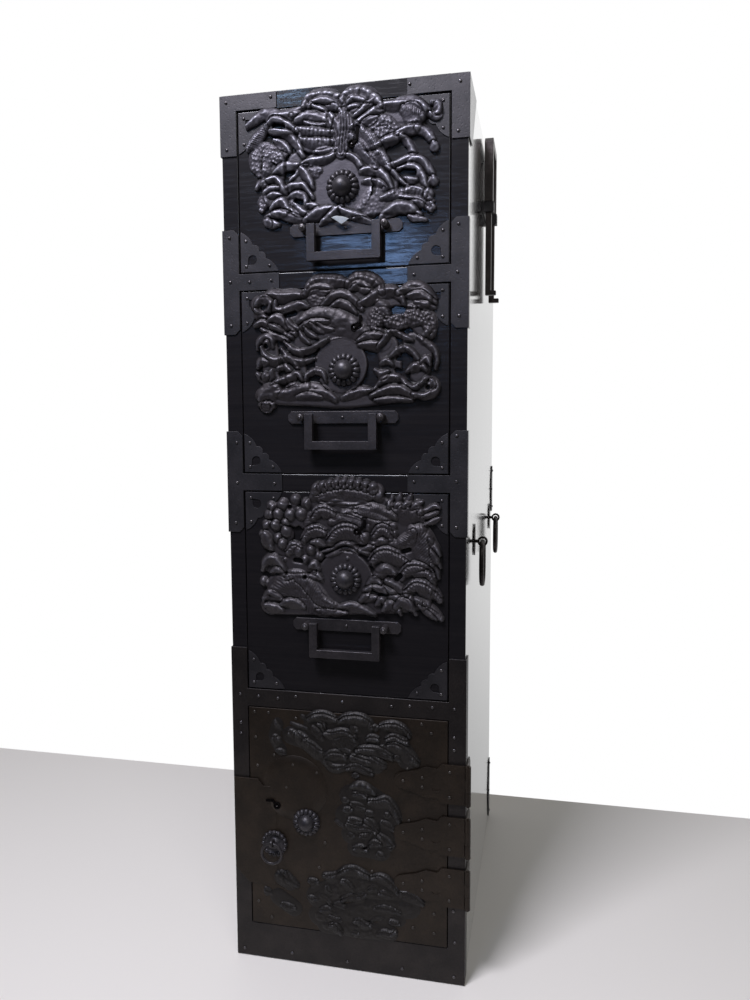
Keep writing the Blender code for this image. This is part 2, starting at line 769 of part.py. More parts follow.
def make_tee_iron(name, drawer, side):
    rail_top = opening_range(drawer)[0]
    rail_low = rail_top - drawer_rail_heights[drawer]
    arm_in = half_width - iron_arm
    leg_in = half_width - iron_leg_width
    low = rail_low - tee_leg_rise
    high = rail_top + tee_leg_rise
    outline = [(arm_in, rail_low), (leg_in, rail_low), (leg_in, low + tee_chamfer),
               (leg_in + tee_chamfer, low), (side_iron_outer, low), (side_iron_outer, high),
               (leg_in + tee_chamfer, high), (leg_in, high - tee_chamfer), (leg_in, rail_top),
               (arm_in, rail_top)]
    lip = [(iron_front, low), (front + edge_lip, low), (front + edge_lip, high), (iron_front, high)]
    sheet_and_lip(name, outline, side, lip)


def make_lower_iron():
    """One clad front below the third drawer, with openings for that drawer and the door."""
    outer = side_iron_outer
    made = finish("lower_frame_iron", box((-outer, iron_front, sheet_floor_gap),
                                          (outer, iron_back, lower_iron_height)), black_iron)
    third_low = opening_range(2)[0]
    cut_front, cut_back = iron_front - overrun, iron_back + overrun
    combine(made, "DIFFERENCE", box((-inner_half, cut_front, door_low), (inner_half, cut_back, door_high)),
            "door_opening")
    combine(made, "DIFFERENCE", box((-inner_half, cut_front, third_low),
                                    (inner_half, cut_back, lower_iron_height + overrun)), "drawer_opening")
    for label, side in (("left", -1), ("right", 1)):
        near, far = sorted((side * side_iron_inner, side * side_iron_outer))
        lip = box((near, iron_front, sheet_floor_gap), (far, front + lower_lip, lower_iron_height))
        combine(made, "UNION", lip, f"lip_{label}")


door_left = -inner_half + door_swing_gap
door_right = inner_half - front_side_gap
door_sheet_front = iron_back - door_sheet_thickness
hinge_x = half_width + hinge_corner_offset
hinge_y = front - hinge_corner_offset
hinge_back = door_sheet_front - seat_gap
hinge_front = hinge_back - hinge_thickness


def door_place(across, drop):
    """A place on the door: across from the case's left edge, down from the door opening's top."""
    return -half_width + across, door_high - drop


def door_bolt_box(grow=0.0):
    """The space of the door's bolt, inside the door's left edge."""
    rear = front + door_thickness - seat_gap
    left = door_left + bolt_drop
    high = door_high - door_bolt_drop
    low = (left - grow, rear - bolt_thickness - grow, high - door_bolt_height - grow)
    return low, (left + door_bolt_length + grow, rear + grow, high + grow)


def make_door():
    hinge = (hinge_x, hinge_y, 0)
    low, high = door_low + front_top_gap, door_high - front_top_gap
    panel = finish("door_panel", box((door_left, front, low), (door_right, front + door_thickness, high)),
                   lacquer, place=hinge)
    cut_low, cut_high = door_bolt_box(mortise_side_gap)
    combine(panel, "DIFFERENCE", box((cut_low[0] - overrun, cut_low[1], cut_low[2]),
                                     (cut_high[0], cut_high[1] + overrun, cut_high[2])), "mortise")
    finish("door_lock_bolt", box(*door_bolt_box()), worn_iron)
    sheet = finish("door_sheet", box((door_left, door_sheet_front, low), (door_right, iron_back, high)),
                   black_iron, place=hinge, smooth=True)
    span = (door_right - door_left, high - low)
    for number, (drawing, place_shares, size_shares) in enumerate(door_relief_shares):
        corner = (door_left + place_shares[0] * span[0], low + place_shares[1] * span[1])
        size = (size_shares[0] * span[0], size_shares[1] * span[1])
        relief = relief_solid(corner, size, drawing, door_relief, door_sheet_front + door_relief_sink,
                              plate_edge)
        combine(sheet, "UNION", relief, f"relief_{number + 1}")
    proud = door_sheet_front - door_relief - plate_edge - overrun
    for number, over_base in enumerate(hinge_centres_over_base):
        room = prism(strap_outline(base_height + over_base, strap_room), "Y", proud, door_sheet_front)
        combine(sheet, "DIFFERENCE", room, f"strap_room_{number + 1}")
    make_door_lock_plate(hinge)
    x, z = door_place(door_boss_place, door_boss_drop)
    boss = boss_shape((x, door_sheet_front - seat_gap, z), door_boss_radius, door_boss_height)
    finish("door_boss", boss, black_iron, smooth=True, place=hinge)


def make_door_lock_plate(hinge):
    """A plate that laps over the left stile, with a rosette and a staple for the ring pull."""
    back_y = door_sheet_front - seat_gap
    face_y = back_y - door_lock_plate_thickness
    left = -half_width
    right = left + door_lock_plate_reach
    top = door_low + door_lock_plate_top
    step_from, step_to = (left + place for place in door_lock_plate_step_places)
    low = top - door_lock_plate_height
    outline = [(left, low + door_lock_plate_overhang), (left + door_lock_plate_overhang, low), (right, low),
               (right, top - door_lock_plate_step), (step_to, top - door_lock_plate_step),
               (step_from, top), (left, top)]
    plate = finish("door_lock_plate", prism(outline, "Y", face_y, back_y), black_iron, smooth=True,
                   place=hinge)
    x, z = door_place(ring_place, ring_drop)
    profile = [(0, 0), (rosette_radius, 0)]
    profile += [(rosette_radius * across, rosette_rim * up) for across, up in rosette_shares]
    profile += [(rosette_hub_radius * rosette_hub_share, rosette_height), (0, rosette_height)]
    rosette = turned(profile, (x, back_y, z), ring_sides)
    combine(plate, "UNION", rosette, "rosette")
    axis_z = z + ring_radius * ring_seat_share
    axis_y = back_y - ring_stand_off
    hole = ring_bar_radius + eye_gap
    staple = prism(circle((axis_y, axis_z), hole + staple_wall, round_sides), "X",
                   x - staple_width / 2, x + staple_width / 2)
    combine(plate, "UNION", staple, "staple")
    stalk = box((x - staple_width / 2, axis_y + hole + pin_gap, axis_z - staple_wall),
                (x + staple_width / 2, back_y - seat_gap, axis_z + staple_wall))
    combine(plate, "UNION", stalk, "stalk")
    eye = rod((axis_y, axis_z), hole, "X", x - staple_width, x + staple_width, round_sides)
    combine(plate, "DIFFERENCE", eye, "eye")
    loop = [(px, axis_y, pz) for px, pz in
            circle((x, axis_z - ring_radius), ring_radius, ring_sides, math.pi / 2)]
    finish("door_ring", closed_tube(loop, ring_bar_radius, ring_bar_sides, (0, 1, 0)), worn_iron,
           smooth=True, place=(x, axis_y, axis_z))


def make_hinges():
    """Three strap hinges whose pins stand just off the case's front right corner."""
    third = hinge_height / 3
    for number, over_base in enumerate(hinge_centres_over_base):
        centre = base_height + over_base
        low, high = centre - hinge_height / 2, centre + hinge_height / 2
        mid_low, mid_high = low + third, high - third
        body = prism(strap_outline(centre), "Y", hinge_front, hinge_back)
        strap = finish(f"hinge_strap_{number + 1}", body, black_iron, smooth=True,
                       place=(hinge_x, hinge_y, centre))
        bore = hinge_pin_radius + hinge_pin_gap
        for part, (from_z, to_z) in (("low", (low, mid_low)), ("high", (mid_high, high))):
            notch = box((hinge_x - hinge_knuckle_radius - hinge_knuckle_gap, hinge_front - overrun,
                         from_z - overrun if part == "low" else from_z - hinge_knuckle_gap),
                        (hinge_x + hinge_knuckle_radius, hinge_back + overrun,
                         to_z + hinge_knuckle_gap if part == "low" else to_z + overrun))
            combine(strap, "DIFFERENCE", notch, f"notch_{part}")
        knuckle = rod((hinge_x, hinge_y), hinge_knuckle_radius, "Z", mid_low + hinge_knuckle_gap,
                      mid_high - hinge_knuckle_gap, round_sides)
        combine(strap, "UNION", knuckle, "knuckle")
        combine(strap, "DIFFERENCE", rod((hinge_x, hinge_y), bore, "Z", mid_low - overrun,
                                         mid_high + overrun, round_sides), "bore")
        make_leaf(f"hinge_leaf_{number + 1}", low, high, mid_low, mid_high)


def strap_outline(centre, grow=0.0):
    """The strap in x and z, square at the knuckle and drawn in to a lobed end on the door."""
    half = hinge_height / 2
    right = hinge_x - hinge_pin_radius - hinge_pin_gap
    bend = right - hinge_strap_neck
    lobe = half * lobe_share
    tip = right - hinge_strap_reach + lobe
    upper = [(right, centre + half + grow), (bend, centre + half + grow)]
    upper += [(bend - across * (bend - tip), centre + up * half + grow) for across, up in strap_waist_shares]
    lower = [(x, 2 * centre - z) for x, z in reversed(upper)]
    return upper + circle((tip, centre), lobe + grow, 7, math.pi / 2, math.pi) + lower


def make_leaf(name, low, high, mid_low, mid_high):
    """The leaf on the side panel, with the outer knuckles and the pin."""
    inner = side_iron_outer + seat_gap
    outer = inner + hinge_thickness
    near = hinge_y + hinge_pin_radius + hinge_pin_gap
    far = front + hinge_leaf_reach
    half = (high - low) / 2
    centre = (high + low) / 2
    slant, tip = half * leaf_slant_share, half * leaf_tip_share
    outline = [(near, low), (far - slant, low), (far, centre - tip), (far, centre + tip),
               (far - slant, high), (near, high)]
    leaf = finish(name, prism(outline, "X", inner, outer), black_iron, smooth=True)
    notch = box((inner - overrun, near - overrun, mid_low - hinge_knuckle_gap),
                (outer + overrun, hinge_y + hinge_knuckle_radius + hinge_knuckle_gap,
                 mid_high + hinge_knuckle_gap))
    combine(leaf, "DIFFERENCE", notch, "notch")
    for part, (from_z, to_z) in (("low", (low, mid_low)), ("high", (mid_high, high))):
        knuckle = rod((hinge_x, hinge_y), hinge_knuckle_radius, "Z", from_z, to_z, round_sides)
        combine(leaf, "UNION", knuckle, f"knuckle_{part}")
    pin = rod((hinge_x, hinge_y), hinge_pin_radius, "Z", low - hinge_pin_head, high + hinge_pin_head,
              pin_sides)
    combine(leaf, "UNION", pin, "pin")


def make_lift(label, side):
    """The keeper and the lifting handle, which slides up above the case to take a carrying pole."""
    centre_y = front + lift_place
    stand = half_width + lift_stand_off
    leg_offset = lift_width / 2 - lift_thick_bar / 2
    top = case_height - lift_top_drop
    half_thick, half_thin = lift_thick_bar / 2, lift_thin_bar / 2
    shoulder = case_height - lift_shoulder_drop
    keeper_top = shoulder - seat_gap
    keeper_low = keeper_top - keeper_height
    foot = case_height - lift_foot_drop

    # The legs and the top bar as one outline of y and z
    outer, inner = lift_width / 2, lift_width / 2 - lift_thick_bar
    right_leg = [(leg_offset + half_thin, foot), (leg_offset + half_thin, shoulder), (outer, shoulder),
                 (outer, top - half_thick), (outer - half_thick, top)]
    left_leg = [(-y, z) for y, z in reversed(right_leg)]
    inside = [(-leg_offset + half_thin, foot), (-leg_offset + half_thin, shoulder), (-inner, shoulder),
              (-inner, top - lift_thick_bar), (inner, top - lift_thick_bar), (inner, shoulder),
              (leg_offset - half_thin, shoulder), (leg_offset - half_thin, foot)]
    outline = [(centre_y + y, z) for y, z in right_leg + left_leg + inside]
    near, far = sorted((side * (stand - half_thick), side * (stand + half_thick)))
    handle = finish(f"pole_handle_{label}", prism(outline, "X", near, far), worn_iron,
                    place=(side * stand, centre_y, top))
    thin_outer = side * (stand + half_thin)
    thin_inner = side * (stand - half_thin)
    for part, cut_from, cut_to in (("outer", thin_outer, side * (stand + half_thick + overrun)),
                                   ("inner", side * (stand - half_thick - overrun), thin_inner)):
        low_x, high_x = sorted((cut_from, cut_to))
        shave = box((low_x, centre_y - lift_width, foot - overrun),
                    (high_x, centre_y + lift_width, shoulder))
        combine(handle, "DIFFERENCE", shave, f"shave_{part}")
    for part, way in (("near", -1), ("far", 1)):
        leg = centre_y + way * leg_offset
        toe_low, toe_high = sorted((side * stand, side * (stand + half_thin + lift_toe)))
        toe = box((toe_low, leg - half_thin, foot), (toe_high, leg + half_thin, foot + lift_toe_height))
        combine(handle, "UNION", toe, f"toe_{part}")

    plate_low, plate_high = sorted((side * side_iron_inner, side * (side_iron_inner + keeper_plate)))
    keeper = finish(f"handle_keeper_{label}", box((plate_low, centre_y - keeper_width / 2, keeper_low),
                                                  (plate_high, centre_y + keeper_width / 2, keeper_top)),
                    black_iron)
    hole = half_thin + keeper_gap
    for part, way in (("near", -1), ("far", 1)):
        leg = centre_y + way * leg_offset
        low_x, high_x = sorted((side * side_iron_inner, side * (stand + hole + keeper_wall)))
        reach = hole + keeper_wall
        collar = box((low_x, leg - reach, keeper_low), (high_x, leg + reach, keeper_top))
        combine(keeper, "UNION", collar, f"collar_{part}")
    for part, way in (("near", -1), ("far", 1)):
        leg = centre_y + way * leg_offset
        low_x, high_x = sorted((side * (stand - hole), side * (stand + hole)))
        slot = box((low_x, leg - hole, keeper_low - overrun), (high_x, leg + hole, keeper_top + overrun))
        combine(keeper, "DIFFERENCE", slot, f"slot_{part}")


def make_side_ring(label, side, place, centre_y):
    """An eye plate on the side panel and the long ring that hangs in its eye."""
    axis_x = side * (half_width + side_ring_stand_off)
    axis_z = side_ring_pivot_height
    hole = side_ring_bar_radius + eye_gap
    eye = hole + eye_wall
    half = eye_plate_width / 2
    low = axis_z - eye_plate_height * eye_low_share
    high = low + eye_plate_height
    point = high - half * eye_point_share
    outline = [(centre_y, low), (centre_y + half, low + half), (centre_y + half, point),
               (centre_y, high), (centre_y - half, point), (centre_y - half, low + half)]
    plate_low, plate_high = sorted((side * side_iron_inner, side * (side_iron_inner + eye_plate_thickness)))
    plate = finish(f"ring_eye_{place}_{label}", prism(outline, "X", plate_low, plate_high), black_iron,
                   smooth=True)
    near, far = centre_y - eye_thickness / 2, centre_y + eye_thickness / 2
    combine(plate, "UNION", rod((axis_x, axis_z), eye, "Y", near, far, round_sides), "eye")
    neck_low, neck_high = sorted((side * (side_iron_inner + eye_plate_thickness / 2), axis_x - side * hole))
    neck = box((neck_low, near, axis_z - eye_neck), (neck_high, far, axis_z + eye_neck))
    combine(plate, "UNION", neck, "neck")
    bore = rod((axis_x, axis_z), hole, "Y", near - overrun, far + overrun, round_sides)
    combine(plate, "DIFFERENCE", bore, "hole")
    half_y = side_ring_width / 2 - side_ring_bar_radius
    drop = side_ring_height - side_ring_bar_radius * 2
    bend = half_y * ring_bend_share
    foot_y, foot_z = (half_y * share for share in ring_foot_shares)
    corners = [(half_y - bend, 0), (half_y, -bend), (half_y, -drop + half_y), (foot_y, -drop + foot_z),
               (0, -drop)]
    loop = corners + [(-y, z) for y, z in reversed(corners[:-1])]
    path = [(axis_x, centre_y + y, axis_z + z) for y, z in loop]
    finish(f"side_ring_{place}_{label}", closed_tube(path, side_ring_bar_radius, ring_bar_sides, (1, 0, 0)),
           worn_iron, smooth=True, place=(axis_x, centre_y, axis_z))


make_case()
for drawer_number in range(3):
    make_drawer(drawer_number)
make_irons()
make_door()
make_hinges()
for side_name, side_sign in (("left", -1), ("right", 1)):
    make_lift(side_name, side_sign)
    for ring_name, ring_y in ring_places:
        make_side_ring(side_name, side_sign, ring_name, ring_y)
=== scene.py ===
# %% [markdown]
# A narrow lacquered tansu with three drawers, a hinged door and carved iron fittings.
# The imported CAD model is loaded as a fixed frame: it says where every piece sits and what
# it moves with. This script gives each piece the shape and the finish of the real one.

# %% Load the frame
import math

import bmesh
import bpy
import numpy as np
from mathutils import Matrix, Vector


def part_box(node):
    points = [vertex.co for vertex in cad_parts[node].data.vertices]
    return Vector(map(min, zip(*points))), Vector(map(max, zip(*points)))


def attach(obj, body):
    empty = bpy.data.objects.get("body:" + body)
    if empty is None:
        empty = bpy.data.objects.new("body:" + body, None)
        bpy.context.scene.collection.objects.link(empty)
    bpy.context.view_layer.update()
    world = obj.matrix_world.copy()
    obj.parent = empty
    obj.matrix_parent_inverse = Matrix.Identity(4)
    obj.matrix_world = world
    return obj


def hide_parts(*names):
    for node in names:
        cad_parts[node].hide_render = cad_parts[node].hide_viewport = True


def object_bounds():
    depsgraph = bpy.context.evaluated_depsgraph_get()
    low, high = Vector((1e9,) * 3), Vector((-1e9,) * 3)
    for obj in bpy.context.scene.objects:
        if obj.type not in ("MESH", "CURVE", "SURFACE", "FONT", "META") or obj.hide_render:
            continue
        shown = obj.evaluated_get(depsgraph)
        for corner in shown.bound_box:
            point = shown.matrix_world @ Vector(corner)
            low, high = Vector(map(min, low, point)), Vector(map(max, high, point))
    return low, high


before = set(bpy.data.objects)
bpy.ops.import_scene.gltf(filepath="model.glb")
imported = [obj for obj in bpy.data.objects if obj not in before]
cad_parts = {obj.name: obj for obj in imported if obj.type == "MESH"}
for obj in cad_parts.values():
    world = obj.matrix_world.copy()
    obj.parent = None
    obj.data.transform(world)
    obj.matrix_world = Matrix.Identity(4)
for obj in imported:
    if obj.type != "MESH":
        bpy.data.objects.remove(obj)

cad_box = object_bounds()
scene = bpy.context.scene
scene.view_settings.view_transform = "Standard"

# %% [markdown]
# The camera stands where the photographer stood, a little to the right of the chest and about
# as high as the second drawer, with a wide lens. Its three axes were solved from the corners
# of the case, so they are written as they came out.

# %% Camera
camera_place = (0.2385, -1.1440, 0.6987)
camera_right = Vector((0.97728, 0.21190, -0.00439))
camera_up = Vector((-0.01514, 0.09044, 0.99579))
camera_lens = 27.95
camera_sensor = 36

camera_data = bpy.data.cameras.new("camera")
camera_data.lens = camera_lens
camera_data.sensor_width = camera_sensor
camera = bpy.data.objects.new("camera", camera_data)
scene.collection.objects.link(camera)
axes = Matrix((camera_right, camera_up, camera_right.cross(camera_up))).transposed()
camera.matrix_world = Matrix.Translation(Vector(camera_place)) @ axes.to_4x4()
scene.camera = camera
print("camera at", camera_place)

# %% [markdown]
# Every finish here is written as shader maths. One small class wraps a socket, so that an
# expression such as 1 - wear * 0.5 adds its own Math nodes, and one method adds any other node.

# %% Shader maths
class Paint:
    """A value, colour or vector on its way through a material."""

    def __init__(self, tree, socket):
        self.tree, self.socket = tree, socket

    def node(self, kind, settings=None, out=0, **sockets):
        """Add a node, set what it is, then feed its sockets. A socket is named or _number."""
        made = self.tree.nodes.new(kind)
        for name, value in (settings or {}).items():
            setattr(made, name, value)
        for name, value in sockets.items():
            key = int(name[1:]) if name[0] == "_" else name.replace("_", " ")
            socket = made.inputs[key]
            if isinstance(value, Paint):
                self.tree.links.new(value.socket, socket)
            else:
                socket.default_value = value
        return Paint(self.tree, made.outputs[out])

    def sum_with(self, operation, other, swap=False):
        """One Math node from this and another value, or the other way round."""
        first, second = (other, self) if swap else (self, other)
        return self.node("ShaderNodeMath", {"operation": operation}, _0=first, _1=second)

    def __add__(self, other):
        return self.sum_with("ADD", other)

    def __sub__(self, other):
        return self.sum_with("SUBTRACT", other)

    def __rsub__(self, other):
        return self.sum_with("SUBTRACT", other, swap=True)

    def __mul__(self, other):
        return self.sum_with("MULTIPLY", other)

    __radd__ = __add__
    __rmul__ = __mul__

    def clear(self, low, high):
        """0 below low, 1 above high and an even slope between."""
        return self.node("ShaderNodeMapRange", {"interpolation_type": "SMOOTHSTEP"},
                         Value=self, From_Min=low, From_Max=high)

    def mix(self, first, second):
        """The first colour where this is 0, the second where it is 1."""
        return self.node("ShaderNodeMix", {"data_type": "RGBA"}, out=2, _0=self, _6=first, _7=second)


print("shader maths ready")

# %% [markdown]
# The room is plain: a pale floor, a white surround and soft lamps. Black lacquer is seen by
# what it mirrors, so the surround matters more than the lamps. The wall behind and beside the
# chest is white, and the half of the room that the front faces is dim, as it was for the
# photographer: that is why the fronts look black and the side looks pale.

# %% Surround
world = bpy.data.worlds.new("room")
scene.world = world
world.use_nodes = True
tree = world.node_tree
tree.nodes.clear()
paint = Paint(tree, None)
where = paint.node("ShaderNodeTexCoord")
direction = paint.node("ShaderNodeVectorMath", {"operation": "NORMALIZE"}, _0=where)
towards = paint.node("ShaderNodeSeparateXYZ", _0=direction)
behind = Paint(tree, towards.socket.node.outputs[1]).clear(-0.30, 0.25)
height = Paint(tree, towards.socket.node.outputs[2])
above = height.clear(0.15, 0.90)
low_wall, middle_wall, high_wall = 0.44, 0.31, 0.27
dim_side, ceiling_glow, diffuse_light = 0.035, 0.06, 0.16
wall_light = low_wall + height.clear(-0.50, -0.10) * middle_wall + height.clear(0.10, 0.32) * high_wall
room_light = dim_side + behind * wall_light + above * ceiling_glow
seen = paint.node("ShaderNodeLightPath")
straight = Paint(tree, seen.socket.node.outputs["Is Camera Ray"])
mirrored = Paint(tree, seen.socket.node.outputs["Is Glossy Ray"])
strength = straight + (1 - straight) * (mirrored * room_light + (1 - mirrored) * diffuse_light)
background = paint.node("ShaderNodeBackground", Color=(1.0, 1.0, 1.0, 1), Strength=strength)
output = tree.nodes.new("ShaderNodeOutputWorld")
tree.links.new(background.socket, output.inputs["Surface"])
print("surround: white behind, dim in front")

# %% [markdown]
# The chest stands on a pale floor that ends just behind it. One lamp lights the front from
# above and one at the right keeps the shadows soft. The others are a window in bluish
# daylight, as the lacquer mirrors it: four panes one above the other, a lower one under them
# and a small one higher up at the left.

# %% Floor and lamps
floor_behind, floor_before, floor_width = 0.075, 0.42, 6.0
wall_place = cad_box[1][1] + floor_behind
floor_end = cad_box[0][1] - floor_before
bpy.ops.object.select_all(action="DESELECT")
bpy.ops.mesh.primitive_plane_add(size=1.0, location=(0, (wall_place + floor_end) / 2, cad_box[0][2]))
floor = bpy.context.object
floor.name = "floor"
bpy.ops.transform.resize(value=(floor_width, wall_place - floor_end, 1))
bpy.ops.object.transform_apply(scale=True)
floor_finish = bpy.data.materials.new("pale_floor")
floor_finish.use_nodes = True
floor_shader = floor_finish.node_tree.nodes["Principled BSDF"]
floor_shader.inputs["Base Color"].default_value = (0.80, 0.77, 0.72, 1)
floor_shader.inputs["Roughness"].default_value = 0.55
floor.data.materials.append(floor_finish)


def lamp(name, place, aim, size, power, tint=(1, 1, 1)):
    """A soft rectangular lamp at place that shines at aim."""
    data = bpy.data.lights.new(name, "AREA")
    data.shape = "RECTANGLE"
    data.size, data.size_y = size
    data.energy = power
    data.color = tint
    made = bpy.data.objects.new(name, data)
    scene.collection.objects.link(made)
    made.location = place
    made.rotation_euler = (Vector(aim) - Vector(place)).to_track_quat("-Z", "Y").to_euler()


lamp("ceiling_lamp", (-0.35, -1.05, 1.95), (0, -0.2, 0.95), (0.55, 0.35), 36, (0.97, 0.965, 1.08))

window_wall = -2.2
window_aim = (0, -0.2, 0.9)
daylight = (0.30, 0.52, 1.0)
pane_middle, pane_width = -0.396, 0.38
panes = ((1.4216, 0.022, 0.16), (1.388, 0.017, 0.46), (1.368, 0.011, 0.30), (1.343, 0.026, 0.58))
for pane, (height, tall, power) in enumerate(panes):
    lamp(f"window_lamp_{pane + 1}", (pane_middle, window_wall, height), window_aim,
         (pane_width, tall), power, daylight)
lamp("low_window_lamp", (-0.322, window_wall, 1.231), window_aim, (0.11, 0.19), 0.72, daylight)
lamp("high_window_lamp", (-0.713, window_wall, 1.933), (0, -0.2, 1.0), (0.10, 0.06), 0.45,
     (0.42, 0.65, 1.0))

lamp("room_lamp", (1.2, -2.4, 1.9), (0.1, 0, 0.6), (1.2, 0.8), 14)
print("lamps: ceiling, a window in", len(panes) + 2, "parts and room")

# %% [markdown]
# Black lacquer on a tansu is brushed on and polished. On the fronts the wood's grain still
# shows through as faint level ripples, and the polish is duller in short level dashes. The
# sides and the top are flatter and shine like a mirror. Both finishes are a coat over a
# near-black ground with a bump of long streaks.

# %% Lacquer
def new_finish(name, colour, roughness, metallic=0.0, coat=0.0):
    """A Principled material. Returns it, its shader and a start for shader maths."""
    made = bpy.data.materials.new(name)
    made.use_nodes = True
    shader = made.node_tree.nodes["Principled BSDF"]
    shader.inputs["Base Color"].default_value = (*colour, 1)
    shader.inputs["Roughness"].default_value = roughness
    shader.inputs["Metallic"].default_value = metallic
    shader.inputs["Coat Weight"].default_value = coat
    shader.inputs["Coat Roughness"].default_value = 0.03
    return made, shader, Paint(made.node_tree, None)


def feed(shader, **values):
    """Connect shader maths to the shader's sockets."""
    for name, value in values.items():
        value.tree.links.new(value.socket, shader.inputs[name.replace("_", " ")])


def bumped(height, distance):
    """A normal that follows a height, distance metres deep at most."""
    return height.node("ShaderNodeBump", Height=height, Distance=distance, Strength=1.0)


def on_object(paint, stretch=(1, 1, 1)):
    """Object coordinates, squeezed for a pattern that is long in one way."""
    place = paint.node("ShaderNodeTexCoord", out=3)
    return paint.node("ShaderNodeMapping", Vector=place, Scale=stretch)


def noise(place, scale, detail, roughness=0.55):
    """Soft noise: how fine it is, and how many finer layers lie over it."""
    return place.node("ShaderNodeTexNoise", Vector=place, Scale=scale, Detail=detail,
                      Roughness=roughness)


def lacquer(name, grain_way, dash_way, depth, gloss, dull_lines, mirror, coat, coat_haze):
    """Black lacquer over grain that is long in one way: how deep the grain is, how rough the
    polish and the dull lines in it are, and how much it mirrors."""
    made, shader, paint = new_finish(name, (0.0065, 0.0060, 0.0070), gloss, coat=coat)
    shader.inputs["Specular IOR Level"].default_value = mirror
    shader.inputs["Coat Roughness"].default_value = coat_haze
    streaks = noise(on_object(paint, grain_way), 14, 5)
    pores = noise(on_object(paint, [10 * way for way in grain_way]), 8, 2)
    dashes = noise(on_object(paint, dash_way), 14, 3).clear(0.44, 0.60)
    dust = noise(on_object(paint), 60, 3).clear(0.62, 0.80)
    tone = (streaks * 0.6 + pores * 0.4).clear(0.35, 0.75)
    feed(shader, Base_Color=tone.mix((0.0060, 0.0054, 0.0066, 1), (0.0105, 0.0092, 0.0102, 1)),
         Roughness=gloss + dust * 0.05 + dashes * dull_lines,
         Normal=bumped(streaks * 0.7 + pores * 0.3, depth))
    return made


front_lacquer = lacquer("front_lacquer", (0.5, 0.5, 30), (3, 3, 36), depth=0.00006, gloss=0.03,
                        dull_lines=0.20, mirror=0.28, coat=0.16, coat_haze=0.42)
side_lacquer = lacquer("side_lacquer", (12, 16, 0.4), (12, 16, 1), depth=0.00003, gloss=0.10,
                       dull_lines=0.02, mirror=0.5, coat=1.0, coat_haze=0.11)
print("lacquer:", front_lacquer.name, side_lacquer.name)

# %% [markdown]
# The inside and the back are bare softwood: warm, open-grained boards that have darkened.
# The grain runs level inside. The back's boards are darker and stand upright.

# %% Bare wood
def softwood(name, light, dark, along):
    """Softwood with uneven growth bands and fine fibres, both long in one way."""
    made, shader, paint = new_finish(name, light, 0.65)
    sway = noise(on_object(paint, (3, 3, 3)), 3, 2)
    bands = noise(on_object(paint, along), 75, 3)
    fibre = noise(on_object(paint, [12 * way for way in along]), 30, 3)
    tone = (bands * 0.55 + fibre * 0.25 + sway * 0.20).clear(0.36, 0.66)
    feed(shader, Base_Color=tone.mix((*light, 1), (*dark, 1)), Roughness=0.55 + fibre * 0.25,
         Normal=bumped(fibre * 0.6 + bands * 0.4, 0.00015))
    return made


bare_wood = softwood("bare_softwood", (0.33, 0.215, 0.115), (0.20, 0.118, 0.058), (0.03, 0.03, 1))
upright_wood = softwood("upright_softwood", (0.20, 0.125, 0.065), (0.115, 0.068, 0.034), (1, 1, 0.03))
print("bare wood:", bare_wood.name, upright_wood.name)

# %% [markdown]
# The fittings are sheet and bar iron, blackened and oiled. The flat sheet is a soft dark grey with a cloudy
# surface. On the chest's sides it is smoother, and its colour is lighter as a painted reflection of the
# white wall. Bars that hands touch have gone brown and smooth. Each iron has its own two tones, polish and
# depth of pits.

# %% Iron
def iron(name, colour, worn, roughness, pitting, metallic=0.55):
    """Blackened iron: two tones in clouds, fine pits, and a roughness that follows them."""
    made, shader, paint = new_finish(name, colour, roughness, metallic)
    place = on_object(paint)
    clouds = noise(place, 26, 6, 0.6)
    fine = noise(place, 420, 3, 0.6)
    pits = place.node("ShaderNodeTexVoronoi", {"feature": "F1"}, Vector=place, Scale=260.0).clear(0.10, 0.32)
    tone = (clouds * 0.75 + fine * 0.25).clear(0.36, 0.70)
    feed(shader, Base_Color=tone.mix((*colour, 1), (*worn, 1)),
         Roughness=roughness + clouds * 0.16 - tone * 0.08 + (1 - pits) * 0.06,
         Normal=bumped(clouds * 0.35 + fine * 0.35 + pits * 0.30, pitting))
    return made


sheet_iron = iron("sheet_iron", (0.016, 0.015, 0.017), (0.034, 0.031, 0.034), 0.42, 0.00025)
# Painted reflection: the sides' iron has a lighter colour that stands in for the white wall mirrored in it.
side_iron_painted_reflection = iron("side_iron_painted_reflection", (0.045, 0.043, 0.048), (0.080, 0.076, 0.084), 0.17, 0.00010, 0.7)
bar_iron = iron("bar_iron", (0.024, 0.0215, 0.0235), (0.053, 0.047, 0.050), 0.34, 0.00030)
brown_iron = iron("brown_iron", (0.020, 0.0165, 0.0160), (0.052, 0.043, 0.041), 0.32, 0.00030, 0.7)
# Painted shade and a painted floor reflection: the lower frame iron and the door's irons are darker, browner
# copies of the sheet iron, as they sit low, far from the ceiling lamp, where a warm floor is mirrored in
# them.
lower_iron_painted_shade_and_reflection = iron("lower_iron_painted_shade_and_reflection", (0.0115, 0.0092, 0.0090), (0.022, 0.0178, 0.0165), 0.40, 0.00025)
door_iron = iron("door_iron", (0.0125, 0.0080, 0.0048), (0.0245, 0.0162, 0.0102), 0.42, 0.00030)
boss_iron = iron("boss_iron", (0.022, 0.020, 0.023), (0.050, 0.046, 0.052), 0.36, 0.0002)
dark_nail_iron = iron("dark_nail_iron", (0.028, 0.024, 0.021), (0.060, 0.052, 0.046), 0.34, 0.00010, 0.6)
nail_iron = iron("nail_iron", (0.050, 0.046, 0.050), (0.120, 0.112, 0.115), 0.26, 0.00010, 0.8)
# Painted highlight: this pale iron stands for a shine on the top plate's small leaf.
painted_shine_iron = iron("painted_shine_iron", (0.20, 0.21, 0.21), (0.42, 0.43, 0.43), 0.34, 0.00010, 0.6)
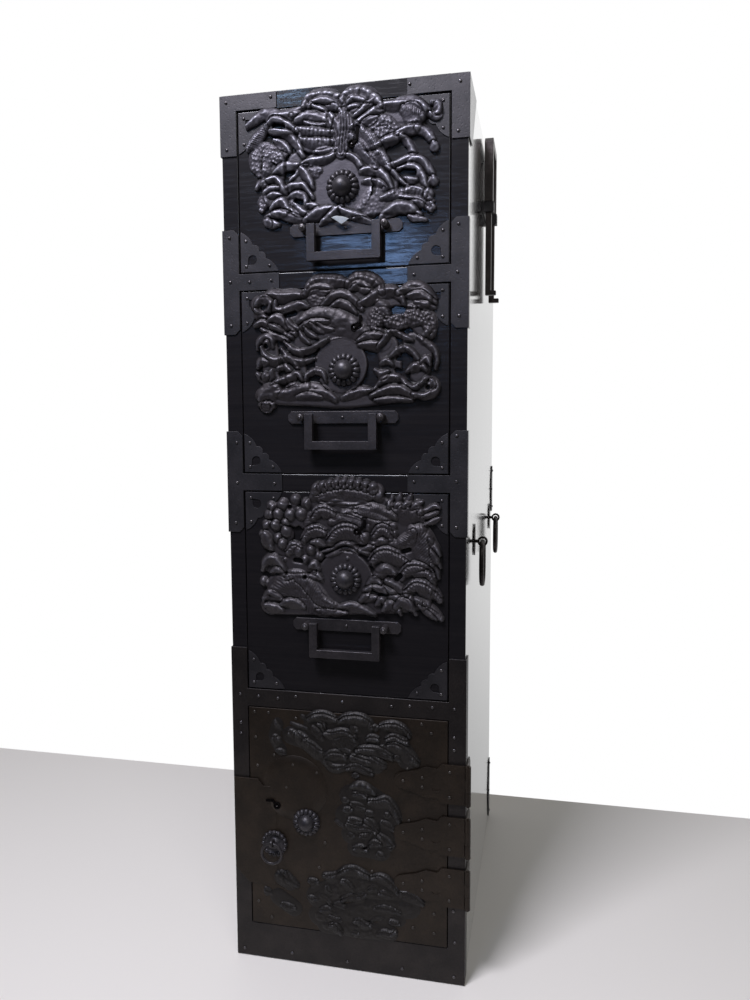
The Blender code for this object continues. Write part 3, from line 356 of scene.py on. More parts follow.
# Painted shade: the keyholes are near-black solids where the real holes are dark.
keyhole_painted_shade, keyhole_shader = new_finish("keyhole_painted_shade", (0.0015, 0.0010, 0.0010), 0.7)[:2]
keyhole_shader.inputs["Specular IOR Level"].default_value = 0.05
print("iron:", sheet_iron.name, bar_iron.name, brown_iron.name, nail_iron.name)

# %% [markdown]
# The case is made of boards, so the CAD solids are already right. A real board's edges are
# broken with a plane and softened by the lacquer. Each board is copied from its node, its
# loose triangles are merged into clean faces, and its edges are bevelled. The rails' edges are
# rounder. The front's lacquer goes a little way in, and the wood behind it is bare. The top
# has the sides' lacquer.

# %% Boards from the frame
def deselect():
    """Leave edit mode and let go of every piece."""
    if bpy.context.object and bpy.context.object.mode != "OBJECT":
        bpy.ops.object.mode_set(mode="OBJECT")
    bpy.ops.object.select_all(action="DESELECT")


def pick(piece):
    """Make a piece the one selected and active object."""
    deselect()
    piece.select_set(True)
    bpy.context.view_layer.objects.active = piece


def edit(piece, action="SELECT"):
    """Open a piece in edit mode with all of its corners picked, or none."""
    pick(piece)
    bpy.ops.object.mode_set(mode="EDIT")
    bpy.ops.mesh.select_all(action=action)


def apply_modifier(piece, kind, **settings):
    """Add one modifier to a piece and make its result permanent."""
    pick(piece)
    bpy.ops.object.modifier_add(type=kind)
    step = piece.modifiers[-1]
    for name, value in settings.items():
        setattr(step, name, value)
    bpy.ops.object.modifier_apply(modifier=step.name)


def smooth(piece, angle):
    """Shade faces as one surface where they meet at less than this many degrees."""
    pick(piece)
    bpy.ops.object.shade_smooth_by_angle(angle=math.radians(angle))


def dull_edges(piece, width, segments=2, corner=30):
    """Round every edge sharper than corner degrees and keep the flats flat in reflections."""
    smooth(piece, corner)
    apply_modifier(piece, "BEVEL", width=width, segments=segments, limit_method="ANGLE",
                   angle_limit=math.radians(corner), harden_normals=True)


def from_node(node, name, edge=0.0006, segments=2):
    """A copy of a CAD node with merged faces and softened edges."""
    pick(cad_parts[node])
    bpy.ops.object.duplicate()
    piece = bpy.context.object
    for key in list(piece.keys()):
        del piece[key]
    stand = piece.matrix_world.copy()
    piece.parent = None
    piece.matrix_world = stand
    piece.name = name
    edit(piece)
    bpy.ops.mesh.remove_doubles(threshold=0.00001)
    bpy.ops.mesh.dissolve_limited(angle_limit=math.radians(1))
    bpy.ops.object.mode_set(mode="OBJECT")
    if edge:
        dull_edges(piece, edge, segments, 40)
    return piece


def dress(piece, finish, body, slot, *nodes):
    """Give a piece its finish, the body it moves with and the nodes it stands for."""
    piece.data.materials.clear()
    piece.data.materials.append(finish)
    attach(piece, body)
    if nodes:
        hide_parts(*nodes)
    return piece


def second_finish(piece, finish, chosen):
    """Paint the faces that chosen(face centre, face normal) picks."""
    piece.data.materials.append(finish)
    number = len(piece.data.materials) - 1
    for face in piece.data.polygons:
        if chosen(face.center, face.normal):
            face.material_index = number


def split_behind(piece, place):
    """A cut across the depth, so that the lacquer of the front can stop there."""
    edit(piece)
    bpy.ops.mesh.bisect(plane_co=(0, place, 0), plane_no=(0, 1, 0))
    bpy.ops.object.mode_set(mode="OBJECT")


half_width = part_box("side_panel_right")[1][0]
front_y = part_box("side_panel_right")[0][1]
back_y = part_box("side_panel_right")[1][1]
lacquer_depth = 0.024
lacquer_reach = front_y + lacquer_depth
board_edge, rail_edge = (0.0006, 2), (0.0016, 4)

for label, way in (("left", -1), ("right", 1)):
    panel = from_node(f"side_panel_{label}", f"side_board_{label}", 0.0008)
    split_behind(panel, lacquer_reach)
    dress(panel, side_lacquer, "case", "lacquer", f"side_panel_{label}")
    second_finish(panel, bare_wood, lambda at, out: way * out.x < -0.9 and at.y > lacquer_reach)
    second_finish(panel, front_lacquer, lambda at, out: out.y < -0.5)
for node, name in (("top_board", "top_boards"), ("base", "sill_and_floor"), ("divider_1", "rail_1"),
                   ("divider_2", "rail_2"), ("divider_3", "rail_3")):
    board = from_node(node, name, *(rail_edge if "rail" in name else board_edge))
    split_behind(board, lacquer_reach)
    dress(board, front_lacquer, "case", "lacquer", node)
    second_finish(board, bare_wood, lambda at, out: at.y > lacquer_reach)
    if name == "top_boards":
        second_finish(board, side_lacquer, lambda at, out: out.z > 0.9)
dress(from_node("back_panel", "back_boards"), upright_wood, "case", "bare_wood", "back_panel")
print("case boards: 8")

# %% [markdown]
# Each drawer is a lacquered front on a plain softwood box, and the door is one lacquered
# board. Their backs are bare. The lock's bolt is a small iron block that shows only when its
# drawer or door is open.

# %% Drawers
for number in (1, 2, 3):
    body = f"drawer_{number}"
    front_board = dress(from_node(f"{body}_front", f"{body}_face", 0.0010, 3), front_lacquer, body,
                        "lacquer", f"{body}_front")
    second_finish(front_board, bare_wood, lambda at, out: out.y > 0.5)
    dress(from_node(f"{body}_box", f"{body}_tray", 0.0008), bare_wood, body, "bare_wood", f"{body}_box")
    dress(from_node(f"{body}_lock_bolt", f"{body}_bolt_block", 0.0004), brown_iron,
          f"{body}_bolt", "worn_iron", f"{body}_lock_bolt")
door_board = dress(from_node("door_panel", "door_board"), front_lacquer, "door", "lacquer", "door_panel")
second_finish(door_board, bare_wood, lambda at, out: out.y > 0.5)
dress(from_node("door_lock_bolt", "door_bolt_block", 0.0004), brown_iron, "door_bolt", "worn_iron",
      "door_lock_bolt")
print("drawer fronts, trays and bolts: 3 of each, and the door")

# %% [markdown]
# Flat fittings are cut from sheet. A smith lays the outline on a disc of sheet and cuts round
# it; here a filled circle with as many corners as the outline is pulled into the outline, then
# extruded and its edges are dulled. Turned pieces such as nail heads start as a filled circle
# too, which is drawn forward ring by ring.

# %% Sheet and turned pieces
def arc(centre, radius, start, sweep, steps):
    """Points on an arc, angles in degrees, both ends included."""
    return [(centre[0] + radius * math.cos(math.radians(start + sweep * step / steps)),
             centre[1] + radius * math.sin(math.radians(start + sweep * step / steps)))
            for step in range(steps + 1)]


def cut_sheet(name, outline, thickness, seat, facing="front", edge=0.0003, segments=2):
    """Sheet with this outline. Its back lies at seat and it faces the front, the left or the right."""
    deselect()
    bpy.ops.mesh.primitive_circle_add(vertices=len(outline), fill_type="NGON")
    piece = bpy.context.object
    piece.name = name
    edit(piece)
    net = bmesh.from_edit_mesh(piece.data)
    for corner in net.verts:
        turn = (math.atan2(corner.co.y, corner.co.x) - math.atan2(1, 0)) % (2 * math.pi)
        number = round(turn / (2 * math.pi) * len(outline)) % len(outline)
        across, up = outline[number]
        corner.co = (across, seat, up) if facing == "front" else (seat, across, up)
    bmesh.update_edit_mesh(piece.data)
    way = {"front": (0, -1, 0), "left": (-1, 0, 0), "right": (1, 0, 0)}[facing]
    move = tuple(thickness * part for part in way)
    bpy.ops.mesh.extrude_region_move(TRANSFORM_OT_translate={"value": move})
    bpy.ops.mesh.select_all(action="SELECT")
    bpy.ops.mesh.normals_make_consistent(inside=False)
    bpy.ops.object.mode_set(mode="OBJECT")
    if edge:
        dull_edges(piece, edge, segments)
    return piece


def turned(name, profile, place, sides, facing="front"):
    """A piece turned on a lathe from rows of (radius, how far it stands out)."""
    deselect()
    tilt = {"front": (math.pi / 2, 0, 0), "left": (0, -math.pi / 2, 0), "right": (0, math.pi / 2, 0)}[facing]
    bpy.ops.mesh.primitive_circle_add(vertices=sides, radius=profile[0][0], fill_type="NGON")
    piece = bpy.context.object
    piece.name = name
    edit(piece)
    last_radius, last_stand = profile[0]
    for radius, stand in profile[1:]:
        bpy.ops.mesh.extrude_region_move(TRANSFORM_OT_translate={"value": (0, 0, stand - last_stand)})
        grow = radius / last_radius
        bpy.ops.transform.resize(value=(grow, grow, 1))
        last_radius, last_stand = radius, stand
    bpy.ops.mesh.select_all(action="SELECT")
    bpy.ops.mesh.normals_make_consistent(inside=False)
    bpy.ops.object.mode_set(mode="OBJECT")
    piece.rotation_euler = tilt
    piece.location = place
    bpy.ops.object.transform_apply(location=True, rotation=True)
    smooth(piece, 50)
    return piece


def join(first, others, name):
    """Several pieces made one."""
    pick(first)
    for other in others:
        other.select_set(True)
    bpy.ops.object.join()
    first.name = name
    return first


def twin(piece, move):
    """A copy of a piece with its own mesh, moved and applied."""
    pick(piece)
    bpy.ops.object.duplicate()
    made = bpy.context.object
    bpy.ops.transform.translate(value=move)
    bpy.ops.object.transform_apply(location=True)
    return made


def cut_with(piece, cutter):
    """Take the cutter's shape out of a piece, and the cutter away."""
    apply_modifier(piece, "BOOLEAN", operation="DIFFERENCE", object=cutter, solver="EXACT")
    bpy.data.objects.remove(cutter)


nail_shape = [(0.0019, 0), (0.0020, 0.0004), (0.0017, 0.0010), (0.0011, 0.0014), (0.0004, 0.0016)]
master_nail = turned("nail", nail_shape, (0, 0, 0), 12)


def nails(name, body, seat, places, finish=nail_iron):
    """Domed nails at places of x and z on a front that lies at y = seat, as one piece."""
    heads = [twin(master_nail, (x, seat, z)) for x, z in places]
    dress(join(heads[0], heads[1:], name), finish, body, "worn_iron")


print("sheet and turning tools ready")

# %% [markdown]
# The frame irons wrap the front corners. Their shapes come from the CAD nodes; what is added are dull edges,
# the iron on the chest's sides, whose lighter colour is a painted reflection of the white wall, and the
# domed nails. The nails' places were read off the photograph in millimetres from the chest's left edge and
# from the floor.

# %% Frame irons
iron_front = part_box("tee_iron_1_left")[0][1]
side_skin = 0.149
frame_irons = ["top_corner_iron_left", "top_corner_iron_right", "tee_iron_1_left", "tee_iron_1_right",
               "tee_iron_2_left", "tee_iron_2_right", "lower_frame_iron"]
for node in frame_irons:
    # The lower frame iron gets the darker, browner copy: painted shade and painted floor reflection.
    finish, edge = (lower_iron_painted_shade_and_reflection, 0.0011) if node == "lower_frame_iron" else (sheet_iron, 0.0004)
    sheet = from_node(node, node.replace("iron", "sheet"), edge, 3)
    dress(sheet, finish, "case", "black_iron", node)
    if finish == sheet_iron:
        # The side faces get the lighter iron, a painted reflection of the white wall.
        second_finish(sheet, side_iron_painted_reflection, lambda at, out: abs(out.x) > 0.9 and abs(at.x) > side_skin)
nail_places = [
    (7, 1091), (64, 1093), (7, 1036), (232, 1092), (290, 1090), (288, 1036), (8, 932), (8, 879), (33, 878),
    (61, 879), (8, 826), (289, 933), (288, 879), (237, 878), (290, 829), (12, 682), (12, 632), (61, 631),
    (9, 581), (288, 690), (288, 636), (237, 635), (288, 581), (10, 358), (35, 357), (61, 356), (85, 360),
    (146, 357), (209, 356), (232, 358), (260, 358), (287, 358), (287, 322), (287, 306), (287, 98), (289, 57),
    (288, 11), (10, 320), (10, 306), (9, 10), (75, 12), (150, 11), (222, 12)]
nails("frame_nails", "case", iron_front, [((x - 150) / 1000, z / 1000) for x, z in nail_places])
print("frame irons:", len(frame_irons), "with", len(nail_places), "nails")

# %% [markdown]
# The lock plates are the chest's showpiece: sheet iron driven up from behind into clouds,
# claws and waves, with open gaps between. A sculptor would draw each ridge with a tool of some
# width, so that is how they are described here. A plate is drawn on squared paper in
# millimetres, measured from the chest's left edge and from the floor as the camera sees them.
# Each stroke has half its width, its height and the points that it runs through. Its ends
# thin to about a third.

# %% Strokes
paper_cell = 0.9
route_step = 0.7
plate_edge = 0.0012
millimetre = 0.001
thin_end = 0.36
rim_line, rim_height = 0.9, 0.7
fringe_width = 2.2
longest_pull = 1.2


def smooth_route(points):
    """A curve through the points, as a close row of points and the way run up to each."""
    points = np.array(points, float)
    if len(points) == 1:
        return points, np.zeros(1)
    padded = np.vstack([2 * points[0] - points[1], points, 2 * points[-1] - points[-2]])
    row = []
    for number in range(len(points) - 1):
        before, start, end, after = padded[number:number + 4]
        steps = max(2, int(np.linalg.norm(end - start) / route_step))
        t = np.linspace(0, 1, steps, endpoint=False)[:, None]
        row.append(0.5 * (2 * start + (end - before) * t
                          + (2 * before - 5 * start + 4 * end - after) * t ** 2
                          + (3 * start - before - 3 * end + after) * t ** 3))
    row = np.vstack(row + [points[-1:]])
    run = np.concatenate([[0], np.cumsum(np.linalg.norm(np.diff(row, axis=0), axis=1))])
    return row, run


def uneven(shape, cells, seed):
    """A smooth random field between -1 and 1, with lumps of about three times cells."""
    field = np.random.default_rng(seed).normal(size=shape)
    for axis in (0, 1, 0, 1, 0, 1):
        field = sum(np.roll(field, step, axis) for step in range(-cells, cells + 1)) / (2 * cells + 1)
    return field / np.abs(field).max()


class Relief:
    """A height field on squared paper between two corners, in millimetres. Its ridges can all
    be made broader than they are written."""

    def __init__(self, low, high, broad=1.0):
        self.broad = broad
        self.low, self.high = np.array(low, float), np.array(high, float)
        self.count = np.maximum(2, np.round((self.high - self.low) / paper_cell).astype(int) + 1)
        x = np.linspace(self.low[0], self.high[0], self.count[0])
        z = np.linspace(self.low[1], self.high[1], self.count[1])
        self.x, self.z = np.meshgrid(x, z)
        self.inside = np.full(self.x.shape, -9.0)
        self.ground = np.zeros(self.x.shape)
        self.ridge = np.zeros(self.x.shape)

    def near(self, points, reach):
        """The window of paper round a stroke and, for each of its squares, the distance from the
        stroke, the way along it, the stroke's length, the side and how far below it."""
        row, run = smooth_route(points)
        low, high = row.min(0) - reach - 1, row.max(0) + reach + 1
        rows = (self.z[:, 0] >= low[1]) & (self.z[:, 0] <= high[1])
        columns = (self.x[0] >= low[0]) & (self.x[0] <= high[0])
        window = np.ix_(rows, columns)
        at = np.stack([self.x[window], self.z[window]], -1)
        offset = at[..., None, :] - row
        square = (offset ** 2).sum(-1)
        nearest = square.argmin(-1)
        away = np.sqrt(square.min(-1))
        length = max(run[-1], 1e-6)
        heading = np.gradient(row, axis=0)[nearest] if len(row) > 1 else np.zeros(at.shape)
        beside = np.take_along_axis(offset, nearest[..., None, None], 2)[..., 0, :]
        side = np.sign(heading[..., 0] * beside[..., 1] - heading[..., 1] * beside[..., 0])
        below = np.clip(-beside[..., 1] / np.maximum(away, 1e-3), 0, 1)
        return window, away, run[nearest], length, side, below

    def sheet(self, width, height, points, roll=3.0):
        """The plate's ground: flat, with a rolled edge."""
        window, away = self.near(points, width)[:2]
        depth = width - away
        self.inside[window] = np.maximum(self.inside[window], depth)
        rise = height * np.sqrt(np.clip(depth / roll, 0, 1))
        self.ground[window] = np.maximum(self.ground[window], rise)

    def stroke(self, width, height, points, style="ridge", pitch=0.0, cut=True, skirt=0.9):
        """A ridge that tapers to its ends, round above and with a long slope below.
        Styles add what the chaser's punches did."""
        width = width * self.broad
        window, away, run, length, side, below = self.near(points, width * (1 + skirt))
        share = run / length if length > 1e-5 else np.full(away.shape, 0.5)
        full = np.sin(np.pi * np.clip(share, 0.02, 0.98)) ** 0.6
        taper = thin_end + (1 - thin_end) * full if len(points) > 1 else 1.0
        reach = width * taper * (1 + skirt * below)
        across = np.clip(away / reach, 0, 1)
        fall = below * min(1, skirt)
        rise = height * ((1 - fall) * np.clip(1 - across ** 1.7, 0, 1) ** 0.7 + fall * (1 - across) ** 0.8)
        if style == "beaded":
            beads = np.abs(np.cos(np.pi * run / pitch))
            rise = rise * (0.72 + 0.28 * beads ** 0.6)
        elif style == "combed":
            rise = rise * (0.90 + 0.10 * np.cos(2 * np.pi * (run + side * away * 0.5) / pitch))
        elif style == "fluted":
            rise = rise * (0.82 + 0.18 * np.cos(2 * np.pi * away / pitch))
        elif style == "scaly":
            scales = 0.74 + 0.26 * self.pebbles(window, pitch)
            rise = height * np.clip((1 - across) * 1.8, 0, 1) ** 0.6 * scales
        moat = np.clip(1 - np.abs(away - reach) / (1.1 + 0.9 * below), 0, 1)
        self.ridge[window] = np.maximum(self.ridge[window] * (1 - 0.45 * moat), rise)
        if cut:
            edge = width * taper * (1 + 0.3 * skirt * below)
            self.inside[window] = np.maximum(self.inside[window], edge - away + 0.8)

    def lobe(self, width, height, points, bead=3.6):
        """A combed ridge with a row of small beads along its upper edge, like a pine's needles."""
        self.stroke(width, height, points, "combed", bead)
        row = smooth_route(points)[0][::4]
        way = np.gradient(row, axis=0)
        up = np.stack([-way[:, 1], way[:, 0]], -1) / np.linalg.norm(way, axis=1)[:, None]
        up *= np.where(up[:, 1:] < 0, -1, 1)
        self.stroke(fringe_width, height * 0.8, row + up * width * 0.66, "beaded", bead, skirt=0.1)

    def pebbles(self, window, pitch):
        """Small domes in loose rows, as a ring punch leaves them."""
        x, z = self.x[window], self.z[window]
        best = np.full(x.shape, 9.0)
        for row_shift in (-1, 0, 1):
            row = np.floor(z / pitch) + row_shift
            for column_shift in (-1, 0, 1):
                column = np.floor(x / pitch) + column_shift
                stray_x = 0.5 + 0.32 * np.sin(column * 12.9 + row * 78.2)
                stray_z = 0.5 + 0.32 * np.sin(column * 39.3 + row * 11.1)
                away = np.hypot(x - (column + stray_x) * pitch, z - (row + stray_z) * pitch)
                best = np.minimum(best, away)
        return np.sqrt(np.clip(1 - (best / (pitch * 0.40)) ** 2, 0, 1))

    def press(self, width, height, points):
        """Beat a strip flat, down to a height."""
        window, away = self.near(points, width)[:2]
        flat = np.clip((away - width) / 2 + 1, 0, 1) * 9 + height
        self.ridge[window] = np.minimum(self.ridge[window], flat)

    def hole(self, width, points):
        """Pierce the plate along a line."""
        window, away = self.near(points, width + 4)[:2]
        self.inside[window] = np.minimum(self.inside[window], away - width)

    def disc(self, centre, radius, height):
        """The smooth round field that carries the boss, with a fine line round its upper part."""
        away = np.hypot(self.x - centre[0], self.z - centre[1])
        field = away < radius
        self.inside = np.maximum(self.inside, radius - away)
        self.ground = np.where(field & (self.inside > 0), height, self.ground)
        rim = np.clip(1 - ((away - radius) / rim_line) ** 2, 0, 1) * (self.z > centre[1] - radius * 0.2)
        self.ridge = np.maximum(self.ridge, rim * rim_height)

    def wear_and_painted_light(self):
        """How far each place stands over its neighbours. A hand rubs crests and misses hollows, so the
        crests are lighter, partly as rubbed wear and partly as a painted highlight; the hollows get painted
        shade.
        """
        rise = self.heights()
        around = rise
        for axis in (0, 1):
            around = sum(np.roll(around, step, axis) for step in range(-4, 5)) / 9
        return np.clip(0.5 + (rise - around) * 0.30, 0, 1)

    def heights(self):
        """Height over the plate's edge, rounded down towards the outline."""
        lumps = 0.9 * uneven(self.x.shape, 1, 1) + 1.4 * uneven(self.x.shape, 3, 2)
        hand = lumps * np.clip(self.ridge / 3, 0.12, 1)
        total = np.clip(self.ground + self.ridge + hand, 0, None)
        roll = np.clip(self.inside / 2.2, 0, 1)
        return total * np.sqrt(np.clip(roll * (2 - roll), 0, 1)) ** 0.8


print("carving tools ready, paper squares of", paper_cell, "mm")

# %% [markdown]
# A finished drawing becomes metal in the order a smith would work. A flat grid is cut to the outline, its
# edge is drawn onto the exact line, it is extruded to a thickness, and then the front is driven up to the
# heights of the drawing. How far each place stands over its neighbours stays on the mesh too, so that the
# finish can paint shade into the hollows and lighten the crests, partly as rubbed wear and partly as a
# painted highlight.

# %% From paper to metal
def forge(relief, name, low, high, back):
    """Make the relief's plate between two corners (x, z in metres), with its back at y = back."""
    deselect()
    bpy.ops.mesh.primitive_grid_add(x_subdivisions=int(relief.count[0]) - 1,
                                    y_subdivisions=int(relief.count[1]) - 1,
                                    size=2, rotation=(math.pi / 2, 0, 0))
    plate = bpy.context.object
    plate.name = name
    bpy.ops.object.transform_apply(rotation=True)
    mesh = plate.data
    place = np.empty(len(mesh.vertices) * 3)
    mesh.vertices.foreach_get("co", place)
    place = place.reshape(-1, 3)
    share = (place[:, [0, 2]] + 1) / 2
    column = np.round(share[:, 0] * (relief.count[0] - 1)).astype(int)
    row = np.round(share[:, 1] * (relief.count[1] - 1)).astype(int)
    inside, rise = relief.inside[row, column], relief.heights()[row, column]
    square = relief.x[0, 1] - relief.x[0, 0], relief.z[1, 0] - relief.z[0, 0]
    slope_z, slope_x = np.gradient(relief.inside, square[1], square[0])
    slope = np.stack([slope_x[row, column], slope_z[row, column]], -1)
    drawn = np.stack([relief.x[row, column], relief.z[row, column]], -1)
    outside = inside < 0
    steep = np.maximum((slope ** 2).sum(-1), 0.25)
    pull = np.clip(-inside, 0, longest_pull)[:, None] * slope / steep[:, None]
    drawn = np.where(outside[:, None], drawn + pull, drawn)
    fit = (drawn - relief.low) / (relief.high - relief.low)
    place[:, 0] = low[0] + fit[:, 0] * (high[0] - low[0])
    place[:, 2] = low[1] + fit[:, 1] * (high[1] - low[1])
    place[:, 1] = back
    mesh.vertices.foreach_set("co", place.ravel())
    height = mesh.attributes.new("height", "FLOAT", "POINT")
    height.data.foreach_set("value", np.where(outside, 0, rise).astype(np.float32))
    # Kept for the finish: painted shade in the hollows, rubbed wear and painted highlight on the crests.
    wear_and_painted_light = mesh.attributes.new("wear_and_painted_light", "FLOAT", "POINT")
    wear_and_painted_light.data.foreach_set("value", relief.wear_and_painted_light()[row, column].astype(np.float32))

    edit(plate, "DESELECT")
    net = bmesh.from_edit_mesh(mesh)
    net.verts.ensure_lookup_table()
    bpy.context.tool_settings.mesh_select_mode = (False, False, True)
    for face in net.faces:
        face.select_set(sum(bool(outside[corner.index]) for corner in face.verts) > 2)
    bmesh.update_edit_mesh(mesh)
    bpy.ops.mesh.delete(type="FACE")
    bpy.ops.mesh.select_all(action="SELECT")
    bpy.ops.mesh.extrude_region_move(TRANSFORM_OT_translate={"value": (0, -plate_edge, 0)})
    net = bmesh.from_edit_mesh(mesh)
    kept = net.verts.layers.float["height"]
    for corner in net.verts:
        if corner.co.y < back - plate_edge / 2:
            corner.co.y = back - plate_edge - corner[kept] * millimetre
    bmesh.update_edit_mesh(mesh)
    bpy.ops.mesh.normals_make_consistent(inside=False)
    bpy.ops.object.mode_set(mode="OBJECT")
    smooth(plate, 60)
    print(name, len(mesh.polygons), "faces")
    return plate


def carve_lock_plate(drawing, name, number, finish, low_shift, high_shift):
    """Forge a drawer's lock plate. The shifts, in millimetres, take the drawing's two corners
    from where the camera sees them to where they are on the chest."""
    node = f"drawer_{number}_lock_plate"
    low, high = (drawing.low - low_shift) / 1000, (drawing.high - high_shift) / 1000
    plate = forge(drawing, name, low, high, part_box(node)[1][1])
    return dress(plate, finish, f"drawer_{number}", "black_iron", node)


def carved(name, dark, light, roughness, metallic):
    """Relief iron: near-black in the hollows as painted shade, lighter on the crests as rubbed wear and a
    painted highlight, with a hand-worked surface.
    """
    made, shader, paint = new_finish(name, dark, roughness, metallic)
    crest = paint.node("ShaderNodeAttribute", {"attribute_name": "wear_and_painted_light"}, out=2)
    spot = on_object(paint)
    cloud = noise(spot, 40, 5)
    grit = noise(spot, 500, 3)
    # Painted shade: the hollows go near-black. The crests go lighter: rubbed wear and painted highlight.
    painted_hollow_shade = crest.clear(0.08, 0.42)
    worn = (crest + cloud * 0.30 - 0.15).clear(0.52, 1.0)
    body = worn.mix((*dark, 1), (*light, 1))
    feed(shader, Base_Color=painted_hollow_shade.mix((0.0025, 0.0018, 0.0020, 1), body),
         Roughness=roughness - worn * 0.12 + grit * 0.12,
         Normal=bumped(cloud * 0.4 + grit * 0.6, 0.0004))
    return made


# The top plate's relief iron is the lightest copy, as painted light: it sits nearest the ceiling lamp.
carved_iron = carved("carved_iron", (0.046, 0.042, 0.051), (0.20, 0.195, 0.225), 0.49, 0.6)
# Painted shade: the second and third plates get a darker copy of the relief iron, as they sit farther below
# the ceiling lamp.
lower_carved_iron_painted_shade = carved("lower_carved_iron_painted_shade", (0.031, 0.0265, 0.030), (0.060, 0.056, 0.064),
                           0.44, 0.5)
# Painted shade: the door's reliefs get a darker copy still, lowest on the chest.
door_relief_iron_painted_shade = carved("door_relief_iron_painted_shade", (0.0098, 0.0076, 0.0066), (0.027, 0.026, 0.028),
                          0.46, 0.5)
print("carved iron ready")

# %% [markdown]
# The top plate is a dragon among clouds. Clouds make the crest, claws and whiskers sweep to both sides, and
# scaly coils show between them. Hammered leaves cross under the boss, and a small one lies over them, pale
# as a painted highlight.

# %% Top drawer's plate
top_drawing = Relief((31, 940), (269, 1100), 1.18)
for width, height, points in (
        (12, 3.2, [(112, 1082), (130, 1083), (150, 1080), (172, 1084), (188, 1076)]),
        (13, 3.2, [(68, 1062), (100, 1062), (150, 1058), (200, 1063), (240, 1062)]),
        (16, 3.0, [(112, 1042), (150, 1035), (188, 1040)]),
        (15, 2.6, [(66, 1018), (64, 990), (74, 968)]),
        (14, 2.6, [(96, 1016), (98, 990), (100, 966)]),
        (14, 2.6, [(206, 1044), (232, 1050)]),
        (13, 2.6, [(196, 1010), (206, 990), (200, 968)]),
        (14, 2.6, [(240, 1000), (242, 985), (238, 966)]),
        (12, 2.4, [(110, 958), (150, 956), (195, 962), (232, 960)]),
        (14, 2.8, [(116, 1012), (114, 985), (118, 960)]),
        (12, 2.8, [(130, 1018), (160, 1022), (184, 1004)])):
    top_drawing.sheet(width, height, points)
top_drawing.disc((150, 985), 37, 3.0)
for width, height, pitch, points in (
        (8, 3.4, 4.6, [(63, 1037), (52, 1036), (45, 1031), (43, 1019), (47, 1009)]),
        (10, 3.6, 4.8, [(82, 1034), (69, 1031), (58, 1024), (56, 1014)]),
        (9, 4.2, 4.6, [(186, 1053), (198, 1054), (209, 1049), (217, 1045)]),
        (8, 4.4, 4.6, [(188, 1039), (198, 1040), (211, 1040)]),
        (7, 4.0, 4.6, [(229, 1046), (238, 1049), (245, 1042)]),
        (11, 1.8, 5.0, [(190, 983), (188, 971), (182, 962), (171, 957)]),
        (5, 3.0, 4.0, [(111, 1010), (118, 1007), (124, 1007)]),
        (6, 3.6, 4.2, [(53, 982), (51, 972), (49, 966)]),
        (6, 3.4, 4.2, [(88, 972), (96, 965)])):
    top_drawing.stroke(width, height, points, "scaly", pitch)
